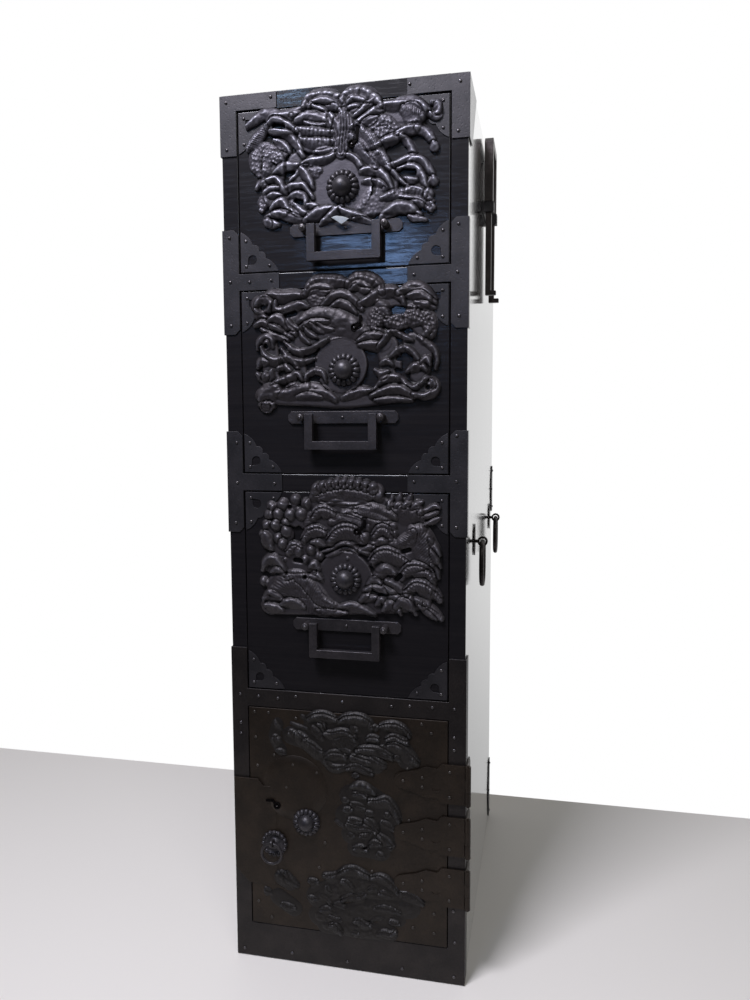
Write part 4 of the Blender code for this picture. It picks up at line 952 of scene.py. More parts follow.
for width, height, points in (
        (5.0, 5.6, [(111, 1080), (121, 1084), (133, 1084), (146, 1077), (152, 1069)]),
        (4.2, 4.8, [(117, 1079), (125, 1075), (135, 1067)]),
        (4.4, 4.8, [(154, 1076), (162, 1083), (174, 1082), (183, 1075)]),
        (3.6, 3.6, [(159, 1074), (168, 1074), (176, 1069)]),
        (3.2, 4.4, [(166, 1064), (174, 1069), (183, 1076), (193, 1082)]),
        (5.6, 5.6, [(32, 1064), (42, 1070), (52, 1076), (64, 1076), (76, 1073), (89, 1075), (104, 1079)]),
        (3.4, 5.2, [(58, 1062), (66, 1068), (76, 1066), (87, 1060), (95, 1053), (102, 1042)]),
        (4.8, 5.8, [(63, 1055), (74, 1054), (84, 1050), (92, 1043), (98, 1034), (103, 1024)]),
        (4.2, 4.6, [(67, 1045), (76, 1041), (82, 1036), (86, 1030)]),
        (6.0, 4.8, [(96, 1065), (107, 1069), (120, 1067), (132, 1062), (139, 1055)]),
        (3.0, 3.8, [(106, 1062), (118, 1057), (131, 1057)]),
        (3.6, 5.4, [(97, 1008), (104, 1015), (113, 1017), (125, 1018), (137, 1021), (145, 1028)]),
        (3.4, 4.0, [(117, 1027), (128, 1029), (142, 1028)]),
        (2.2, 3.4, [(86, 996), (93, 1003), (102, 1011), (109, 1013)]),
        (5.0, 5.2, [(67, 1006), (76, 1012), (86, 1014), (97, 1014)]),
        (4.6, 5.4, [(100, 1010), (106, 1004), (111, 995), (115, 987)]),
        (4.0, 6.0, [(49, 994), (58, 998), (68, 1000), (74, 995), (80, 988), (92, 990), (103, 990),
                    (109, 983), (115, 975)]),
        (3.6, 4.0, [(43, 991), (49, 997), (57, 992)]),
        (3.6, 4.2, [(53, 984), (62, 989), (72, 989)]),
        (3.0, 3.6, [(58, 980), (66, 982), (75, 980)]),
        (4.6, 4.6, [(86, 978), (95, 980), (104, 976), (107, 966)]),
        (4.6, 6.0, [(62, 964), (69, 971), (77, 973), (83, 964), (91, 958), (99, 952)]),
        (4.6, 5.2, [(55, 956), (64, 958), (74, 959), (85, 955), (96, 951), (106, 947)]),
        (4.4, 4.4, [(53, 952), (61, 949), (70, 947)]),
        (3.6, 3.8, [(109, 967), (117, 965), (124, 960)]),
        (3.6, 4.6, [(92, 970), (100, 961), (109, 955)]),
        (4.6, 5.0, [(137, 1069), (142, 1061), (147, 1054), (149, 1044)]),
        (4.6, 5.8, [(162, 1051), (172, 1056), (182, 1062), (192, 1068), (204, 1073)]),
        (3.6, 4.6, [(174, 1052), (184, 1057), (194, 1060)]),
        (3.2, 5.0, [(155, 1021), (164, 1019), (170, 1014), (176, 1005), (186, 1002)]),
        (4.8, 5.6, [(174, 1001), (184, 1003), (194, 1000), (201, 995), (207, 986), (211, 979)]),
        (3.4, 4.0, [(176, 989), (186, 990), (196, 987), (205, 980)]),
        (5.6, 6.0, [(199, 1075), (211, 1074), (223, 1076), (234, 1076), (244, 1071), (252, 1064),
                    (257, 1058)]),
        (4.6, 5.4, [(254, 1059), (262, 1058), (266, 1063), (264, 1070), (257, 1072)]),
        (4.8, 5.8, [(192, 1028), (202, 1032), (213, 1036), (223, 1039)]),
        (4.4, 5.2, [(217, 1041), (230, 1045), (242, 1044), (251, 1040), (257, 1032), (260, 1025)]),
        (4.4, 5.0, [(222, 1037), (228, 1032), (233, 1024), (236, 1014), (231, 1009)]),
        (4.6, 5.4, [(208, 1005), (218, 1008), (231, 1012), (243, 1010), (251, 1004), (257, 995),
                    (260, 986)]),
        (4.0, 5.0, [(218, 1001), (230, 1003), (240, 1000), (246, 992), (250, 982), (255, 973)]),
        (3.4, 4.4, [(225, 990), (233, 987), (240, 987)]),
        (2.4, 5.2, [(203, 1004), (213, 997), (222, 987), (232, 978)]),
        (4.2, 4.6, [(234, 978), (244, 975), (252, 969), (258, 963)]),
        (4.4, 4.6, [(220, 969), (234, 966), (246, 962), (256, 953)]),
        (6.4, 6.0, [(198, 948), (207, 954), (219, 959), (231, 956), (243, 948)]),
        (3.8, 4.6, [(230, 947), (240, 943), (250, 942)]),
        (4.8, 5.0, [(104, 949), (118, 957), (130, 960), (142, 961)]),
        (4.0, 5.6, [(123, 943), (133, 950), (141, 957), (150, 962)]),
        (4.2, 5.6, [(149, 959), (160, 954), (171, 950), (186, 943)]),
        (3.0, 4.2, [(164, 947), (176, 945), (188, 941)])):
    top_drawing.stroke(width, height, points)
for width, height, pitch, points in (
        (6.2, 4.8, 7.4, [(106, 1083), (112, 1090), (122, 1093), (133, 1092), (145, 1088), (152, 1081)]),
        (6.4, 4.8, 7.4, [(152, 1084), (158, 1091), (170, 1093), (182, 1089), (192, 1082), (197, 1074)]),
        (4.8, 5.2, 4.8, [(97, 1055), (110, 1052), (125, 1049), (142, 1047)]),
        (4.6, 5.0, 4.8, [(102, 1042), (116, 1039), (129, 1038), (142, 1037)]),
        (4.6, 5.2, 6.0, [(240, 1045), (251, 1040), (257, 1032), (260, 1024)]),
        (4.8, 4.8, 5.0, [(198, 969), (212, 973), (227, 975), (240, 974), (250, 968), (259, 956)])):
    top_drawing.stroke(width, height, points, "beaded", pitch)
for place in ((260, 1024), (259, 986), (254, 972), (264, 1067), (57, 951)):
    top_drawing.stroke(4.6, 5.2, [place])
top_drawing.stroke(12.0, 5.0, [(152, 1068), (153, 1052), (151, 1038), (150, 1024)], "fluted", 3.4, skirt=0.2)
for width, height, pitch, points in (
        (5.6, 6.0, 2.6, [(33, 1038), (40, 1045), (48, 1053), (57, 1061)]),
        (6.4, 5.4, 2.4, [(162, 1042), (172, 1032), (182, 1021), (192, 1007)]),
        (6.4, 5.8, 2.4, [(170, 1052), (182, 1041), (192, 1027), (200, 1015), (207, 1004)]),
        (8.0, 4.6, 2.6, [(225, 1067), (234, 1064), (245, 1058)])):
    top_drawing.stroke(width, height, points, "combed", pitch)
for width, points in (
        (4.5, [(208, 1022), (224, 1021)]), (3.6, [(224, 997), (236, 995)]), (3.0, [(68, 1061), (78, 1059)]),
        (2.6, [(82, 1004), (90, 1005)]), (2.6, [(94, 972), (100, 970)])):
    top_drawing.hole(width, points)
for place in ((90, 1071), (201, 979), (53, 1024)):
    top_drawing.stroke(2.0, 2.4, [place], cut=False)
top_drawing.press(5.5, 1.6, [(163, 1032), (169, 1036), (170, 1049)])
top_plate = carve_lock_plate(top_drawing, "top_drawer_carving", 1, carved_iron,
                             (148.2, 2.2), (149.2, 3.2))

leaf_places = [(138.1, 949.3), (144.4, 950.9), (152.8, 949.4), (160.0, 947.0), (155.8, 943.8),
               (150.6, 940.6), (145.4, 944.4)]
leaf_outline = [((x - 148.7) / 1000, (z - 2.6) / 1000) for x, z in leaf_places][::-1]
leaf_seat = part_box("drawer_1_lock_plate")[1][1] - 0.0085
leaf = cut_sheet("top_drawer_leaf", leaf_outline, 0.0012, leaf_seat, edge=0.0004)
# The leaf's pale iron is a painted highlight.
dress(leaf, painted_shine_iron, "drawer_1", "worn_iron")
print("first lock plate with its pale leaf")

# %% [markdown]
# The second plate is calmer: a long wing and a coiled body lie among waves and curling clouds.
# The coil's openings show the lacquer behind.

# %% Second drawer's plate
middle_drawing = Relief((31, 719), (269, 888), 1.18)
for width, height, points in (
        (13, 3.0, [(114, 868), (131, 869), (150, 866), (173, 869), (185, 865)]),
        (12, 2.8, [(44, 852), (64, 853), (97, 852), (129, 851), (173, 851), (208, 854), (247, 852)]),
        (13, 2.8, [(68, 830), (96, 832), (139, 832), (177, 833), (198, 832)]),
        (11, 2.8, [(212, 824), (234, 829), (247, 817)]),
        (15, 2.8, [(94, 809), (128, 812), (170, 809), (198, 804)]),
        (12, 2.4, [(54, 806), (58, 781), (58, 755)]),
        (14, 2.4, [(87, 786), (91, 765), (95, 751)]),
        (14, 2.4, [(204, 798), (208, 777), (206, 757)]),
        (12, 2.2, [(234, 801), (247, 787), (243, 763)]),
        (11, 2.6, [(47, 741), (95, 738), (149, 735), (201, 739), (247, 746)])):
    middle_drawing.sheet(width, height, points)
middle_drawing.disc((147, 776), 33, 3.2)
for width, height, pitch, points in (
        (11, 4.4, 4.6, [(202, 844), (196, 836), (191, 826), (193, 818)]),
        (9, 4.6, 5.0, [(206, 828), (220, 828), (232, 835), (245, 835), (254, 826), (255, 814), (249, 807)]),
        (8, 2.6, 3.8, [(110, 862), (120, 858), (133, 857)])):
    middle_drawing.stroke(width, height, points, "scaly", pitch)
for width, height, points in (
        (7.0, 4.4, [(194, 850), (200, 844), (204, 836)]),
        (5.4, 4.6, [(107, 864), (116, 870), (129, 869), (140, 864)]),
        (5.0, 5.2, [(159, 866), (169, 872), (179, 868), (189, 859)]),
        (4.8, 4.8, [(125, 848), (135, 857), (146, 861), (156, 859), (166, 852), (174, 843)]),
        (3.8, 4.2, [(136, 846), (145, 851), (152, 850), (160, 845), (167, 838)]),
        (5.2, 5.6, [(172, 849), (183, 854), (194, 861), (205, 864), (215, 862), (222, 854), (225, 847)]),
        (5.2, 5.4, [(218, 860), (229, 866), (241, 867), (252, 861), (261, 852)]),
        (4.4, 4.4, [(230, 856), (243, 857), (253, 851), (262, 847)]),
        (3.6, 3.8, [(238, 848), (250, 845), (261, 841)]),
        (5.6, 5.6, [(48, 861), (60, 865), (73, 863), (88, 864), (103, 863)]),
        (4.6, 5.0, [(40, 850), (44, 857), (53, 858), (60, 853), (57, 844)]),
        (4.6, 4.6, [(40, 846), (44, 839), (53, 836)]),
        (4.6, 5.0, [(66, 855), (66, 846), (75, 844), (86, 848), (97, 851), (107, 847)]),
        (9.5, 5.0, [(96, 830), (109, 836), (124, 837), (141, 833), (156, 827), (173, 817), (185, 808)]),
        (4.0, 5.4, [(94, 821), (105, 826), (118, 829), (133, 829)]),
        (5.4, 5.4, [(55, 832), (66, 836), (76, 831), (83, 823), (90, 817)]),
        (3.4, 5.2, [(81, 834), (86, 826), (95, 821)]),
        (4.0, 5.2, [(38, 827), (47, 831), (55, 827), (61, 820)]),
        (3.4, 5.4, [(58, 827), (68, 823), (75, 817), (87, 811)]),
        (3.6, 4.6, [(46, 823), (56, 817), (68, 813), (81, 808)]),
        (2.6, 3.8, [(110, 827), (117, 821), (126, 816)]),
        (2.6, 3.8, [(102, 823), (108, 816), (118, 810)]),
        (2.6, 3.6, [(96, 818), (101, 810), (109, 803)]),
        (2.6, 3.6, [(119, 827), (128, 821), (139, 819)]),
        (4.2, 5.0, [(41, 799), (43, 808), (52, 813), (60, 809), (61, 801)]),
        (4.2, 5.4, [(47, 800), (51, 791), (58, 786), (67, 784), (76, 787), (85, 785), (93, 775)]),
        (3.4, 5.6, [(76, 806), (83, 800), (91, 795), (101, 794), (112, 797), (122, 803), (132, 808)]),
        (3.2, 4.8, [(71, 799), (78, 791), (88, 784), (100, 782), (115, 785)]),
        (3.6, 4.8, [(102, 757), (106, 766), (115, 770), (125, 767), (129, 758)]),
        (4.6, 4.8, [(41, 776), (45, 783), (54, 782)]),
        (4.8, 5.0, [(40, 768), (47, 763), (56, 765), (60, 772)]),
        (3.6, 4.0, [(67, 774), (76, 776), (85, 770)]),
        (4.2, 5.2, [(58, 754), (71, 759), (83, 763), (93, 767), (99, 760)]),
        (3.6, 4.2, [(78, 751), (88, 753), (96, 751)]),
        (6.0, 4.8, [(64, 744), (80, 744), (95, 748), (110, 750), (125, 746), (140, 736)]),
        (3.4, 3.4, [(91, 739), (106, 741), (123, 738)]),
        (8.0, 5.0, [(44, 736), (49, 744), (58, 749), (67, 751)]),
        (5.6, 5.2, [(43, 730), (51, 728), (60, 729)]),
        (4.2, 4.0, [(149, 737), (162, 743), (174, 747), (185, 746)]),
        (3.8, 5.4, [(189, 748), (198, 757), (209, 761), (220, 759), (228, 752), (236, 748), (246, 754)]),
        (4.6, 5.6, [(185, 739), (197, 744), (210, 748), (222, 747), (233, 741), (243, 739)]),
        (4.0, 5.4, [(236, 741), (248, 738), (258, 741), (263, 749), (259, 756), (251, 758), (245, 753)]),
        (3.2, 3.6, [(189, 734), (212, 735), (234, 733)]),
        (3.4, 5.0, [(196, 777), (204, 781), (211, 776)]),
        (3.6, 5.0, [(208, 785), (216, 792), (226, 795), (235, 790), (242, 781), (244, 774)]),
        (4.0, 5.2, [(228, 767), (236, 773), (246, 774), (251, 769)]),
        (3.6, 4.6, [(245, 778), (252, 782), (256, 775)]),
        (3.0, 4.2, [(241, 808), (253, 801), (261, 792), (264, 781), (262, 770)]),
        (3.6, 3.8, [(189, 770), (197, 765), (206, 768)]),
        (4.2, 4.8, [(169, 805), (181, 810), (191, 811), (201, 810)]),
        (3.6, 4.0, [(170, 800), (184, 801), (198, 801)]),
        (3.0, 5.2, [(193, 796), (201, 806), (209, 816)]),
        (3.2, 4.8, [(206, 815), (216, 813), (226, 808), (235, 804)])):
    middle_drawing.stroke(width, height, points)
for width, height, points in (
        (6.0, 5.0, [(104, 865), (109, 873), (118, 879), (131, 879), (145, 878), (158, 873)]),
        (6.0, 5.0, [(157, 872), (164, 880), (174, 881), (185, 878), (194, 872), (199, 862)])):
    middle_drawing.stroke(width, height, points, "beaded", 7.2)
for point in ((51, 730), (258, 754), (51, 766), (54, 805)):
    middle_drawing.stroke(4.0, 5.4, [point])
for width, points in (
        (4.2, [(214, 840), (222, 839)]), (2.8, [(49, 848)]), (2.4, [(79, 837), (90, 840)]),
        (2.6, [(52, 801)]), (2.8, [(218, 783), (230, 781)]), (2.4, [(70, 767)]), (2.2, [(253, 748)]),
        (2.6, [(113, 761), (118, 761)]), (2.4, [(222, 767), (216, 769)])):
    middle_drawing.hole(width, points)
middle_drawing.press(5.5, 1.6, [(165, 820), (172, 824), (173, 834)])
middle_plate = carve_lock_plate(middle_drawing, "second_drawer_carving", 2, lower_carved_iron_painted_shade,
                                (148.2, 0.8), (149.2, 2.2))
print("second lock plate")

# %% [markdown]
# The third plate is a long-tailed bird over a hill. A bank of cloud with a row of beads on it
# makes the crest, berries hang at the left, and the tail feathers fall down the right edge.

# %% Third drawer's plate
lower_drawing = Relief((31, 456), (277, 646), 1.18)
for width, height, points in (
        (12, 3.2, [(118, 623), (154, 626), (189, 622)]),
        (13, 2.8, [(113, 606), (153, 605), (197, 604)]),
        (14, 2.8, [(67, 595), (104, 587), (148, 590), (191, 593), (235, 598)]),
        (12, 2.8, [(55, 573), (73, 567)]),
        (14, 2.8, [(110, 563), (150, 569), (197, 572), (239, 581)]),
        (12, 2.6, [(52, 558), (75, 549), (106, 546)]),
        (12, 2.6, [(197, 555), (229, 560), (249, 563)]),
        (12, 2.4, [(54, 529), (106, 531)]),
        (14, 2.6, [(197, 536), (226, 535), (256, 546)]),
        (16, 2.6, [(63, 501), (103, 502), (123, 488)]),
        (14, 2.6, [(197, 510), (228, 512), (251, 513)]),
        (12, 2.4, [(51, 476), (103, 477), (158, 480), (212, 484), (247, 491)])):
    lower_drawing.sheet(width, height, points)
lower_drawing.disc((150, 512), 36, 3.0)
for width, height, pitch, points in (
        (6.0, 3.0, 3.4, [(115, 596), (106, 587), (102, 578)]),
        (10.0, 4.6, 3.0, [(208, 602), (220, 604), (235, 602), (249, 596)]),
        (9.0, 4.8, 2.8, [(150, 596), (167, 597), (184, 593), (201, 585), (212, 574)]),
        (6.5, 4.4, 2.8, [(133, 586), (148, 588), (165, 584), (180, 580)]),
        (6.0, 4.6, 2.8, [(165, 602), (182, 603), (199, 599), (214, 593)]),
        (12.0, 5.0, 3.2, [(235, 577), (245, 573), (251, 559), (257, 540), (261, 523)]),
        (7.0, 4.6, 2.8, [(208, 564), (216, 558), (226, 564), (237, 575)]),
        (15.0, 4.6, 4.0, [(60, 496), (74, 506), (90, 506), (105, 494), (121, 481), (136, 476)]),
        (6.0, 4.6, 3.0, [(76, 515), (85, 519), (97, 515), (108, 503), (118, 490), (134, 482)]),
        (6.0, 4.6, 3.0, [(239, 492), (249, 485), (260, 477), (270, 469)])):
    lower_drawing.stroke(width, height, points, "combed", pitch)
for width, height, points in (
        (4.0, 5.2, [(206, 604), (209, 611), (210, 616)]),
        (4.0, 5.2, [(215, 606), (218, 613), (220, 619)]),
        (4.0, 5.2, [(225, 606), (230, 612), (233, 618)]),
        (3.6, 4.8, [(235, 604), (241, 609), (247, 611)]),
        (3.4, 4.6, [(243, 598), (252, 601), (262, 606), (268, 604)]),
        (3.4, 4.4, [(247, 592), (255, 594), (266, 599)]),
        (3.0, 4.0, [(251, 584), (260, 588), (268, 592)]),
        (3.2, 4.6, [(256, 567), (263, 558), (269, 547)]),
        (3.2, 4.6, [(258, 553), (264, 543), (269, 532)]),
        (3.2, 4.4, [(258, 536), (264, 528), (267, 519)]),
        (3.0, 4.2, [(249, 483), (262, 474), (271, 467)]),
        (3.0, 4.2, [(243, 485), (254, 475), (264, 468)]),
        (3.0, 3.6, [(120, 608), (128, 606), (139, 611), (152, 608), (164, 607), (173, 610), (182, 607)]),
        (3.4, 3.4, [(118, 612), (135, 616), (157, 617), (180, 613)]),
        (3.0, 4.4, [(122, 547), (137, 552), (149, 558), (159, 556), (168, 550), (186, 544)]),
        (2.2, 3.4, [(126, 541), (139, 547), (150, 552), (159, 550), (167, 545)]),
        (3.2, 4.0, [(108, 559), (117, 559), (124, 555)]),
        (6.4, 5.0, [(42, 568), (48, 564), (55, 551)]),
        (4.6, 4.2, [(186, 559), (195, 563), (203, 562)]),
        (3.8, 4.2, [(169, 549), (178, 553), (188, 555)]),
        (5.4, 5.0, [(43, 522), (47, 533), (57, 538), (65, 532), (72, 524)]),
        (4.0, 4.4, [(54, 518), (63, 523), (72, 517)]),
        (4.6, 4.6, [(106, 528), (112, 531), (117, 526)]),
        (4.0, 4.0, [(105, 517), (114, 518), (121, 513)]),
        (5.6, 4.8, [(184, 514), (193, 523), (203, 529), (214, 524)]),
        (4.6, 4.6, [(180, 509), (188, 514), (196, 510)]),
        (5.4, 5.0, [(203, 514), (213, 509), (223, 501), (232, 491), (235, 482)]),
        (4.8, 4.4, [(199, 506), (208, 500), (218, 491), (222, 483)]),
        (4.6, 4.6, [(170, 488), (180, 494), (190, 493)]),
        (3.8, 4.4, [(175, 501), (186, 505), (197, 503), (203, 498)]),
        (3.6, 4.4, [(190, 483), (197, 490), (201, 485)]),
        (4.6, 4.6, [(43, 485), (51, 492), (61, 490), (69, 485)]),
        (4.6, 4.4, [(67, 478), (77, 483), (89, 481), (98, 476)]),
        (4.0, 3.6, [(46, 477), (58, 475), (69, 472)]),
        (4.6, 4.2, [(143, 479), (158, 481), (173, 477), (188, 470)]),
        (3.6, 3.8, [(114, 473), (134, 471), (153, 471)]),
        (4.6, 4.8, [(199, 477), (207, 485), (216, 480), (220, 473)]),
        (5.0, 4.8, [(214, 482), (222, 489), (232, 484), (239, 474)])):
    lower_drawing.stroke(width, height, points)
for width, height, points in (
        (6.2, 5.2, [(97, 561), (104, 571), (115, 575), (126, 571)]),
        (8.0, 5.4, [(132, 561), (141, 572), (153, 576), (165, 572), (173, 563)]),
        (6.4, 5.2, [(111, 589), (117, 598), (127, 599), (137, 594)]),
        (6.2, 5.4, [(188, 568), (195, 577), (203, 576), (208, 568)]),
        (7.4, 5.2, [(184, 536), (192, 546), (204, 549), (218, 544), (231, 535)]),
        (7.2, 5.2, [(222, 520), (231, 530), (244, 531), (255, 525), (259, 516)]),
        (6.8, 5.2, [(228, 501), (238, 510), (250, 509), (261, 501), (268, 492)]),
        (5.8, 4.6, [(77, 545), (85, 553), (93, 549)])):
    lower_drawing.lobe(width, height, points, 4.4)
cloud_bank = [(111, 619), (120, 624), (135, 626), (154, 627), (172, 626), (187, 623), (194, 619)]
lower_drawing.stroke(10.0, 5.4, cloud_bank, "combed", 4.2)
for x in range(115, 196, 9):
    lower_drawing.stroke(4.9, 6.6, [(x, 635 - 9 * ((x - 153) / 40) ** 2)], skirt=0.8)
berries = [(87, 611, 6), (71, 606, 6), (101, 607, 6), (55, 603, 5), (65, 593, 6), (52, 592, 5.5),
           (80, 593, 6), (95, 594, 6), (62, 580, 6), (48, 580, 4.5), (74, 582, 5), (75, 572, 6),
           (64, 563, 5), (70, 556, 5.5), (91, 546, 5), (44, 507, 5), (118, 541, 4.5), (107, 549, 5),
           (176, 567, 5), (99, 537, 4), (212, 581, 4)]
for x, z, radius in berries:
    lower_drawing.stroke(radius, radius * 0.95, [(x, z)], skirt=0.3)
for width, points in (
        (4.0, [(91, 574), (89, 565)]), (2.6, [(86, 535), (94, 534)]), (3.0, [(220, 520), (216, 516)]),
        (2.4, [(224, 550), (231, 552)]), (2.2, [(80, 602)]), (2.0, [(99, 514)])):
    lower_drawing.hole(width, points)
for place in ((154, 540), (73, 536), (250, 487)):
    lower_drawing.stroke(1.8, 2.4, [place], cut=False)
lower_drawing.press(5.5, 1.4, [(167, 573), (176, 579), (176, 588)])
lower_plate = carve_lock_plate(lower_drawing, "third_drawer_carving", 3, lower_carved_iron_painted_shade,
                               (148.4, -1.0), (149.6, -0.2))
print("third lock plate with", len(berries), "berries")

# %% [markdown]
# The boss at the middle of each plate is a chrysanthemum of sixteen petals. It is turned like
# a nail head, then its rim is pressed into petals by a wave that runs round it.

# %% Bosses
petal_count = 16
boss_profile = [(1.00, 0.00), (1.00, 0.12), (0.98, 0.22), (0.93, 0.30), (0.86, 0.36), (0.78, 0.40),
                (0.71, 0.41), (0.66, 0.40), (0.63, 0.36), (0.61, 0.36), (0.59, 0.42), (0.56, 0.54),
                (0.50, 0.67), (0.42, 0.79), (0.33, 0.88), (0.22, 0.95), (0.11, 0.99), (0.03, 1.00)]
petals_start = 0.61


def boss(name, node, body):
    """A domed boss in a ring of petals, in the place of its node."""
    low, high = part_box(node)
    radius, height = (high[0] - low[0]) / 2, high[1] - low[1]
    centre = ((low[0] + high[0]) / 2, high[1], (low[2] + high[2]) / 2)
    profile = [(radius * across, height * up) for across, up in boss_profile]
    piece = turned(name, profile, centre, petal_count * 8)
    edit(piece)
    net = bmesh.from_edit_mesh(piece.data)
    for corner in net.verts:
        x, z = corner.co.x - centre[0], corner.co.z - centre[2]
        share = math.hypot(x, z) / radius
        valley = 1 - abs(math.cos(math.atan2(z, x) * petal_count / 2)) ** 0.6
        if share > petals_start and corner.co.y < centre[1] - 0.0001:
            pull = 1 - 0.10 * valley ** 1.5 * (share - petals_start) / 0.39
            corner.co.x, corner.co.z = centre[0] + x * pull, centre[2] + z * pull
            corner.co.y += min(0.13 * height * valley, (centre[1] - corner.co.y) * 0.8)
    bmesh.update_edit_mesh(piece.data)
    bpy.ops.object.mode_set(mode="OBJECT")
    smooth(piece, 60)
    dress(piece, boss_iron, body, "black_iron", node)


for number in (1, 2, 3):
    boss(f"drawer_{number}_chrysanthemum", f"drawer_{number}_boss", f"drawer_{number}")
boss("door_chrysanthemum", "door_boss", "door")
print("bosses: 4 of", petal_count, "petals")

# %% [markdown]
# Each handle hangs from two posts on a back plate whose four corners are cut off. The
# posts' rivets show as bright pins. The bail is a square bar bent into a frame; its corners
# are worn round.

# %% Drawer handles
plate_corner = 0.0042
backing = 0.0025
post_reach = 0.0495


def cut_corners(low, high, cut):
    """The outline of a plate between two corners (x, y, z) with its four corners cut off."""
    left, right, bottom, top = low[0], high[0], low[2], high[2]
    return [(left + cut, bottom), (right - cut, bottom), (right, bottom + cut), (right, top - cut),
            (right - cut, top), (left + cut, top), (left, top - cut), (left, bottom + cut)]


for number in (1, 2, 3):
    body, node = f"drawer_{number}", f"drawer_{number}_handle_plate"
    low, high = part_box(node)
    centre, middle, stand = (low[0] + high[0]) / 2, (low[2] + high[2]) / 2, high[1] - low[1]
    plate = cut_sheet("plate", cut_corners(low, high, plate_corner), backing, high[1], edge=0.0005,
                      segments=3)
    posts = [turned("post", [(0.0045, 0), (0.0045, stand - 0.0008), (0.0036, stand)],
                    (centre + way * post_reach, high[1], middle), 16) for way in (-1, 1)]
    dress(join(plate, posts, f"{body}_handle_backing"), bar_iron, body, "black_iron", node)
    rivet = twin(master_nail, (centre, high[1] - 0.0024, middle))
    pins = [twin(master_nail, (centre + way * post_reach, low[1] + 0.0003, middle)) for way in (-1, 1)]
    dress(join(rivet, pins, f"{body}_handle_rivets"), nail_iron, body, "worn_iron")
    bail = f"{body}_bail"
    dress(from_node(bail, f"{bail}_bar", 0.0011, 3), bar_iron, bail, "worn_iron", bail)
print("handles: 3 back plates and 3 bails")

# %% [markdown]
# A key turns behind every plate. Its hole is a round eye with a slit that leans away from it and turns once,
# and a small pin stands in the eye's middle; eye and slit are a near-black solid set into the plate, painted
# shade where the real hole is dark. The door's keyhole is made in the same way with its lock plate, further
# down.

# %% Keyholes
keyhole_half, keyhole_height = 0.0014, 0.0034
keyhole_rim = [(0.0048, 0), (0.0048, 0.0028), (0.0040, 0.0034), (0.0030, 0.0028), (0.0028, 0.0016)]


def strip(start, end):
    """The outline of a straight slit between two points, a little longer than they ask."""
    run = Vector(end) - Vector(start)
    side = Vector((run.y, -run.x)).normalized() * keyhole_half
    start, end = Vector(start), Vector(end) + run.normalized() * keyhole_half * 0.6
    return [tuple(point) for point in (start + side, end + side, end - side, start - side)]


def keyhole(name, body, seat, eye_place, bend, tip):
    """A round eye with a pin in it and a slit that turns once, set into a plate at seat; eye and slit are a
    near-black solid, painted shade for the hole.
    """
    place = (eye_place[0], seat, eye_place[1])
    eye = turned("eye", keyhole_rim, place, 24)
    slits = [cut_sheet("slit", strip(start, end), keyhole_height, seat, edge=0)
             for start, end in ((eye_place, bend), (bend, tip))]
    dress(join(eye, slits, f"{name}_keyhole"), keyhole_painted_shade, body, "black_iron")
    pin = turned(f"{name}_key_pin", [(0.0014, 0), (0.0014, 0.0030), (0.0009, 0.0035)], place, 12)
    dress(pin, nail_iron, body, "worn_iron")


drawer_keyholes = (
    (1, top_plate, (0.0146, 1.0290), (0.0201, 1.0328), (0.0213, 1.0460)),
    (2, middle_plate, (0.0161, 0.8183), (0.0228, 0.8225), (0.0237, 0.8320)),
    (3, lower_plate, (0.0176, 0.5732), (0.0266, 0.5796), (0.0273, 0.5881)))
for number, plate, eye_place, bend, tip in drawer_keyholes:
    skin = plate.ray_cast((eye_place[0], -1.0, eye_place[1]), (0, 1, 0))[1]
    keyhole(f"drawer_{number}", f"drawer_{number}", skin.y + 0.0008, eye_place, bend, tip)
print("drawer keyholes:", len(drawer_keyholes), "with their pins")

# %% [markdown]
# A pierced iron sits in every corner of the drawer fronts. Its long side is scalloped, its
# hole is a heart that points into the corner, and three nails hold it. One outline is drawn
# and mirrored into the four corners.

# %% Corner irons
corner_leg = 0.048
corner_sheet = 0.0011
corner_cusps = (0.0, 0.33, 0.50, 0.67, 1.0)
scallop = 0.0034
corner_nails = ((0.007, 0.007), (0.007, 0.037), (0.037, 0.007))
heart_centre, heart_size = (0.0150, 0.0145), 0.0056
corner_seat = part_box("drawer_1_front")[0][1]


def corner_outline(place, right, up):
    """The corner iron's outline from the drawer's corner, with its scalloped long side."""
    points = [(0, 0), (corner_leg, 0)]
    for start, end in zip(corner_cusps, corner_cusps[1:]):
        for step in range(1, 7):
            way = start + (end - start) * step / 6
            swell = scallop * math.sin(math.pi * step / 6) ** 0.8 * (1 if end - start < 0.2 else 0.75)
            points.append((corner_leg * (1 - way) + swell * 0.7, corner_leg * way + swell * 0.7))
    placed = [(place[0] + right * x, place[1] + up * z) for x, z in points]
    return placed if right * up > 0 else placed[::-1]


def heart(place, right, up):
    """A round hole drawn to a point towards the drawer's corner."""
    point = tuple(middle - heart_size * 1.05 for middle in heart_centre)
    points = arc(heart_centre, heart_size, -95, 280, 12) + [point]
    placed = [(place[0] + right * x, place[1] + up * z) for x, z in points]
    return placed if right * up > 0 else placed[::-1]


def corner_iron(name, place, right, up):
    """One pierced iron with its corner at place; right and up, 1 or -1, say where it reaches."""
    piece = cut_sheet(name, corner_outline(place, right, up), corner_sheet, corner_seat, edge=0)
    cutter = cut_sheet("hole", heart(place, right, up), 0.006, corner_seat + 0.002, edge=0)
    cut_with(piece, cutter)
    dull_edges(piece, 0.0003)
    return piece


